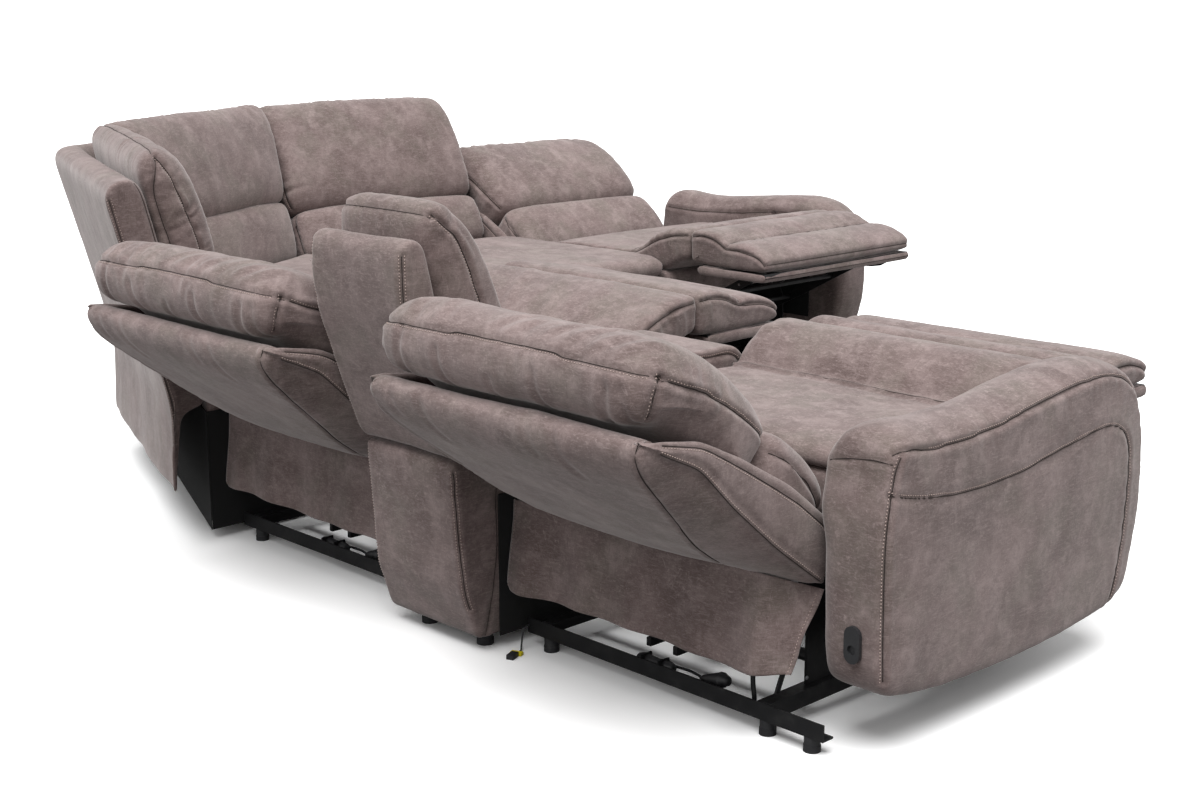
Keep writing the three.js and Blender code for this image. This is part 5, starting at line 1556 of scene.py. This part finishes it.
def head_tree():
    """A round washer with a smaller head on it, set along each point's own direction."""
    tree = bpy.data.node_groups.new("round_heads", "GeometryNodeTree")
    tree.interface.new_socket("Geometry", in_out="INPUT", socket_type="NodeSocketGeometry")
    tree.interface.new_socket("Geometry", in_out="OUTPUT", socket_type="NodeSocketGeometry")
    keys = {}
    for label, kind in (("Radius", "Float"), ("Height", "Float"), ("Neck", "Float"), ("Sides", "Int"),
                        ("Finish", "Material")):
        keys[label] = tree.interface.new_socket(label, in_out="INPUT",
                                                socket_type=f"NodeSocket{kind}").identifier
    n, link = tree.nodes, tree.links.new
    given, out = n.new("NodeGroupInput"), n.new("NodeGroupOutput")
    points = n.new("GeometryNodeMeshToPoints")
    axis = n.new("GeometryNodeInputNamedAttribute")
    axis.data_type = "FLOAT_VECTOR"
    axis.inputs["Name"].default_value = "axis"
    turn = n.new("FunctionNodeAlignRotationToVector")
    turn.axis = "Z"
    join = n.new("GeometryNodeJoinGeometry")
    for share, width in ((0.42, None), (1.0, "Neck")):
        ring = n.new("GeometryNodeMeshCylinder")
        lift = n.new("GeometryNodeTransform")
        offset = n.new("ShaderNodeCombineXYZ")
        link(given.outputs["Sides"], ring.inputs["Vertices"])
        radius = given.outputs["Radius"]
        if width:
            radius = times(tree, radius, given.outputs[width])
        link(radius, ring.inputs["Radius"])
        link(times(tree, given.outputs["Height"], share), ring.inputs["Depth"])
        link(times(tree, given.outputs["Height"], share / 2), offset.inputs["Z"])
        link(offset.outputs["Vector"], lift.inputs["Translation"])
        link(ring.outputs["Mesh"], lift.inputs["Geometry"])
        link(lift.outputs["Geometry"], join.inputs["Geometry"])
    place = n.new("GeometryNodeInstanceOnPoints")
    real = n.new("GeometryNodeRealizeInstances")
    paint = n.new("GeometryNodeSetMaterial")
    link(given.outputs["Geometry"], points.inputs["Mesh"])
    link(axis.outputs["Attribute"], turn.inputs["Vector"])
    link(points.outputs["Points"], place.inputs["Points"])
    link(join.outputs["Geometry"], place.inputs["Instance"])
    link(turn.outputs["Rotation"], place.inputs["Rotation"])
    link(place.outputs["Instances"], real.inputs["Geometry"])
    link(real.outputs["Geometry"], paint.inputs["Geometry"])
    link(given.outputs["Finish"], paint.inputs["Material"])
    link(paint.outputs["Geometry"], out.inputs["Geometry"])
    return tree, keys


def make_heads():
    tree, keys = head_tree()
    for (kind, body), places in sorted(head_points.items()):
        radius, height, sides, neck = HEADS[kind]
        finish = {"bolts": steel, "rivets": bright}.get(kind, moulded)
        mesh = bpy.data.meshes.new(kind)
        mesh.from_pydata([p for p, _ in places], [], [])
        attribute = mesh.attributes.new("axis", "FLOAT_VECTOR", "POINT")
        attribute.data.foreach_set("vector", np.array([a for _, a in places], np.float32).ravel())
        obj = bpy.data.objects.new(f"{body.replace('_body', '')}_{kind}", mesh)
        bpy.context.scene.collection.objects.link(obj)
        modifier = obj.modifiers.new(kind, "NODES")
        modifier.node_group = tree
        for key, value in (("Radius", radius), ("Height", height), ("Neck", neck), ("Sides", sides),
                           ("Finish", finish)):
            modifier[keys[key]] = value
        applied(obj)
        flatten(obj)
        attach(obj, body)


# Recliner mechanism details on the solids that stay
PLATE_X = 0.084
UPPER_X = 0.0956
LOWER_PIVOT = (0.8603, 0.2598)
KNEE = (1.004, 0.3297)
BOARD_PIVOT = (1.235, 0.452)


def fittings(m):
    """Bolts on the linkage, glides under the steel feet, brackets, and the plug and rods at the rear bar."""
    for out, side in ((-1, 0.0), (1, m.width)):
        def at(depth, y, z):
            return (side - out * depth, y, z)
        axis = (out, 0, 0)
        low = [(0.300, 0.080), (0.60, 0.080), (0.86, 0.080), (0.88, 0.20)]
        add_heads("bolts", m.body("seat"), m, [at(PLATE_X, *LOWER_PIVOT), at(PLATE_X, *PIVOT)], axis)
        add_heads("rivets", m.body("seat"), m, [at(PLATE_X, y, z) for y, z in low], axis)
        upper = [at(UPPER_X, *lerp(np.array(KNEE), np.array(BOARD_PIVOT), t)) for t in (0.2, 0.36, 0.52,
                                                                                        0.68, 0.84)]
        add_heads("rivets", m.body("upper_links"), m, upper, axis)
        add_heads("bolts", m.body("upper_links"), m, [at(UPPER_X, *BOARD_PIVOT)], axis)
        bracket = [(1.150, 0.462), (1.165, 0.448), (1.30, 0.444), (1.345, 0.452), (1.366, 0.4635),
                   (1.150, 0.4635)]
        x = side - out * 0.118
        plate_piece(f"{m.prefix}_bracket_{out}", m, bracket, x, x - out * 0.004, m.body("footrest"), steel)
        add_heads("rivets", m.body("footrest"), m, [(x + 0.0002 * out, y, 0.455) for y in (1.175, 1.27,
                                                                                           1.315)], axis)
    feet = [(0.085, 0.191), (m.width - 0.085, 0.191), (0.085, 0.835), (m.width - 0.085, 0.835)]
    if m.side:
        feet.append((m.width + 0.020 if m.side > 0 else -0.020, 0.191))
    add_heads("glides", "frame", m, [(x, y, 0.0) for x, y in feet], (0, 0, 1))
    mid = m.width / 2
    body = m.body("seat")
    for k, x in enumerate((mid - 0.042, mid + 0.030)):
        block(f"{m.prefix}_drive_arm_{k}", m, (x, 0.214, 0.075), (x + 0.012, 0.330, 0.093), body, steel)
    knuckle = [(mid - 0.046, 0.200, 0.0525), (mid - 0.030, 0.199, 0.0535), (mid, 0.199, 0.0535),
               (mid + 0.030, 0.199, 0.0535), (mid + 0.046, 0.200, 0.0525)]
    tube(f"{m.prefix}_knuckle", m, knuckle, [0.010, 0.0135, 0.011, 0.0135, 0.010], "frame", moulded,
         4, 14)
    lead = [(mid + 0.020, 0.214, 0.052), (mid + 0.06, 0.222, 0.050), (mid + 0.09, 0.216, 0.052),
            (mid + 0.118, 0.206, 0.054)]
    tube(f"{m.prefix}_motor_flex", m, lead, 0.0028, "frame", moulded)
    plug = [(mid + 0.112, 0.206, 0.052), (mid + 0.122, 0.206, 0.054), (mid + 0.150, 0.206, 0.060),
            (mid + 0.166, 0.206, 0.064), (mid + 0.170, 0.206, 0.065), (mid + 0.184, 0.206, 0.066)]
    tube(f"{m.prefix}_plug", m, plug, [0.003, 0.008, 0.013, 0.016, 0.015, 0.009], "frame", moulded,
         5, 14)
    tail = [(mid + 0.166, 0.206, 0.052), (mid + 0.174, 0.200, 0.040), (mid + 0.192, 0.194, 0.037),
            (mid + 0.214, 0.190, 0.0365)]
    tube(f"{m.prefix}_plug_flex", m, tail, 0.0034, "frame", moulded)
    rod = [(mid + 0.236, 0.196, 0.036), (mid + 0.246, 0.200, 0.038), (mid + 0.250, 0.204, 0.052),
           (mid + 0.244, 0.206, 0.085), (mid + 0.243, 0.208, 0.135)]
    tube(f"{m.prefix}_bent_rod", m, rod, 0.0048, "frame", steel)
    strap = [(0.212, 0.072), (0.224, 0.070), (0.246, 0.118), (0.268, 0.185), (0.258, 0.190), (0.238, 0.130)]
    x = m.width - 0.0895
    plate_piece(f"{m.prefix}_strap", m, strap, x, x + 0.004, body, steel)
    hollow_lining(m, m.body("seat"), (0.010, m.width - 0.0122), 0.420, 0.955, 0.215, 0.3635)


# Stitches and painted seam shadow lines made once per body from the lines kept above
def line_tree(name, inputs, material, build):
    """A tree that makes curves of its edges, hands them to build and paints what comes back."""
    tree = bpy.data.node_groups.new(name, "GeometryNodeTree")
    tree.interface.new_socket("Geometry", in_out="INPUT", socket_type="NodeSocketGeometry")
    tree.interface.new_socket("Geometry", in_out="OUTPUT", socket_type="NodeSocketGeometry")
    keys = {label: tree.interface.new_socket(label, in_out="INPUT", socket_type="NodeSocketFloat").identifier
            for label in inputs}
    given, out = tree.nodes.new("NodeGroupInput"), tree.nodes.new("NodeGroupOutput")
    curve = tree.nodes.new("GeometryNodeMeshToCurve")
    real = tree.nodes.new("GeometryNodeRealizeInstances")
    paint = tree.nodes.new("GeometryNodeSetMaterial")
    paint.inputs["Material"].default_value = material
    tree.links.new(given.outputs["Geometry"], curve.inputs["Mesh"])
    tree.links.new(build(tree, given, curve.outputs["Curve"]), real.inputs["Geometry"])
    tree.links.new(real.outputs["Geometry"], paint.inputs["Geometry"])
    tree.links.new(paint.outputs["Geometry"], out.inputs["Geometry"])
    return tree, keys


def stitch_nodes(tree, given, curve):
    n, link = tree.nodes, tree.links.new
    spread = n.new("GeometryNodeResampleCurve")
    spread.mode = "LENGTH"
    tangent = n.new("GeometryNodeInputTangent")
    turn = n.new("FunctionNodeAlignRotationToVector")
    turn.axis = "X"
    bead = n.new("GeometryNodeMeshUVSphere")
    bead.inputs["Segments"].default_value = 4
    bead.inputs["Rings"].default_value = 3
    bead.inputs["Radius"].default_value = 1.0
    size = n.new("ShaderNodeCombineXYZ")
    place = n.new("GeometryNodeInstanceOnPoints")
    link(curve, spread.inputs["Curve"])
    link(given.outputs["Pitch"], spread.inputs["Length"])
    link(spread.outputs["Curve"], place.inputs["Points"])
    link(bead.outputs["Mesh"], place.inputs["Instance"])
    link(tangent.outputs["Tangent"], turn.inputs["Vector"])
    link(turn.outputs["Rotation"], place.inputs["Rotation"])
    link(given.outputs["Length"], size.inputs["X"])
    link(given.outputs["Thickness"], size.inputs["Y"])
    link(given.outputs["Thickness"], size.inputs["Z"])
    link(size.outputs["Vector"], place.inputs["Scale"])
    return place.outputs["Instances"]


# A thin dark tube swept along each seam as its painted shadow line
def shadow_line_nodes(tree, given, curve):
    section = tree.nodes.new("GeometryNodeCurvePrimitiveCircle")
    section.inputs["Resolution"].default_value = 5
    sweep = tree.nodes.new("GeometryNodeCurveToMesh")
    sweep.inputs["Fill Caps"].default_value = True
    tree.links.new(given.outputs["Radius"], section.inputs["Radius"])
    tree.links.new(curve, sweep.inputs["Curve"])
    tree.links.new(section.outputs["Curve"], sweep.inputs["Profile Curve"])
    return sweep.outputs["Mesh"]


def make_lines(paths, label, tree, keys, values):
    for body, lines in sorted(paths.items()):
        verts, edges = [], []
        for path in lines:
            first = len(verts)
            verts += [tuple(p) for p in path]
            edges += [(first + k, first + k + 1) for k in range(len(path) - 1)]
        mesh = bpy.data.meshes.new(label)
        mesh.from_pydata(verts, edges, [])
        obj = bpy.data.objects.new(f"{body.replace('_body', '')}_{label}", mesh)
        bpy.context.scene.collection.objects.link(obj)
        modifier = obj.modifiers.new(label, "NODES")
        modifier.node_group = tree
        for key, value in values.items():
            modifier[keys[key]] = value
        applied(obj)
        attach(obj, body)


def make_stitches():
    tree, keys = line_tree("top_stitching", ["Pitch", "Length", "Thickness"], thread, stitch_nodes)
    sizes = {"Pitch": STITCH_PITCH, "Length": STITCH_LENGTH, "Thickness": STITCH_THICKNESS}
    make_lines(stitch_paths, "stitches", tree, keys, sizes)
    # The seams' painted shadow lines, made as thin dark tubes
    tree, keys = line_tree("cloth_joints", ["Radius"], joint_shadow_finish, shadow_line_nodes)
    make_lines(seam_shadow_paths, "joints", tree, keys, {"Radius": SEAM_SHADOW_RADIUS})


# Studio
def build_studio():
    """A wide pale floor that looks lighter than it shines back, a soft sky and one broad light from above."""
    reach = 600.0
    mesh = bpy.data.meshes.new("studio_floor")
    mesh.from_pydata([(-reach, -reach, 0), (reach, -reach, 0), (reach, reach, 0), (-reach, reach, 0)], [],
                     [(0, 1, 2, 3)])
    floor = bpy.data.objects.new("studio_floor", mesh)
    bpy.context.scene.collection.objects.link(floor)
    material, tree, bsdf = new_material("pale_floor", (0.93, 0.93, 0.93, 1), 0.0, 0.9)
    bsdf.inputs["Specular IOR Level"].default_value = 0.1
    path = tree.nodes.new("ShaderNodeLightPath")
    shade = mix_colour(tree, path.outputs["Is Camera Ray"], (FLOOR_BOUNCE,) * 3 + (1,),
                       (FLOOR_SHADE,) * 3 + (1,))
    tree.links.new(shade, bsdf.inputs["Base Color"])
    mesh.materials.append(material)
    world = bpy.data.worlds.new("studio_air")
    world.use_nodes = True
    world.node_tree.nodes["Background"].inputs["Color"].default_value = (1, 1, 1, 1)
    world.node_tree.nodes["Background"].inputs["Strength"].default_value = SKY
    bpy.context.scene.world = world
    bpy.context.scene.view_settings.view_transform = "Standard"
    data = bpy.data.lights.new("soft_top", "SUN")
    data.energy = SUN
    data.angle = math.radians(48)
    top = bpy.data.objects.new("soft_top", data)
    bpy.context.scene.collection.objects.link(top)
    top.rotation_euler = Vector(SUN_WAY).to_track_quat("-Z", "Y").to_euler()


def build_camera():
    """Camera found from the edges of the modules in the photograph, in the wedge's own frame."""
    azimuth, elevation = math.radians(45.77), math.radians(13.10)
    place = Vector((4.8578, -2.1466, 1.3357))
    focal_pixels, frame_pixels, sensor = 1755.9, 1200.0, 36.0
    back = Vector((math.sin(azimuth) * math.cos(elevation), -math.cos(azimuth) * math.cos(elevation),
                   math.sin(elevation)))
    data = bpy.data.cameras.new("camera")
    data.sensor_width = sensor
    data.lens = focal_pixels / frame_pixels * sensor
    camera = bpy.data.objects.new("camera", data)
    bpy.context.scene.collection.objects.link(camera)
    camera.location = wedge.matrix @ place
    camera.rotation_mode = "QUATERNION"
    camera.rotation_quaternion = (-back).to_track_quat("-Z", "Y")
    bpy.context.scene.camera = camera


# The lead repeats the route of the solids, in the near recliner's own frame
LEAD_RADIUS = 0.002
LEAD_ROUTE = [
    (0.034, 0.1757, 0.047), (0.034, 0.168, 0.047), (0.034, 0.158, 0.038), (0.036, 0.151, 0.015),
    (0.040, 0.146, 0.0032), (0.046, 0.138, 0.0025), (0.050, 0.128, 0.0025),
]


def through(points, steps):
    """A smooth open curve through points, given as many points."""
    p = [np.array(q, float) for q in points]
    p = [2 * p[0] - p[1]] + p + [2 * p[-1] - p[-2]]
    out = []
    for i in range(1, len(p) - 2):
        a, b, c, d = p[i - 1: i + 3]
        for t in np.linspace(0, 1, steps, endpoint=False):
            out.append(between(a, b, c, d, t))
    out.append(p[-2])
    return np.array(out)


def build_lead():
    local = through(LEAD_ROUTE, 5)
    line = near.row(local)
    obj = hard_piece("lead_flex", ring_mesh("lead_flex", tube_rings(local, LEAD_RADIUS), near), "frame",
                     moulded)
    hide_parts("lead")


# The whole sofa
build_camera()
finish_cad()
build_lead()
for m in recliners:
    back_shell(m)
    head_cushion(m)
    lumbar_cushion(m)
    seat(m)
    footrest(m)
    deck(m)
    rear_skirt(m)
    if m.side:
        arm(m)
    fittings(m)
build_wedge()
build_armless()
build_console()
hollow_lining(console, "frame", (CONSOLE_WIDTH - GAP + LINING_OUT,), 0.122, 0.880, 0.028, 0.335)
hollow_lining(wedge, "frame", (WEDGE_WIDTH - GAP + LINING_OUT,), 0.1015, 0.965, 0.026, 0.330)
add_heads("box_feet", "frame", console, [(x, y, 0) for x in (0.072, 0.256) for y in (0.121, 0.80)], (0, 0, 1))
corners = [(1.02, 0.30), (1.06, 0.88), (0.88, 1.06), (0.17, 1.06), (0.45, 0.52)]
add_heads("box_feet", "frame", wedge, [(x, y, 0) for x, y in corners], (0, 0, 1))
corners = [(x, y, 0) for x in (0.10, ARMLESS_WIDTH - 0.10) for y in (0.20, 0.86)]
add_heads("box_feet", "frame", armless, corners, (0, 0, 1))
make_stitches()
make_heads()
build_studio()
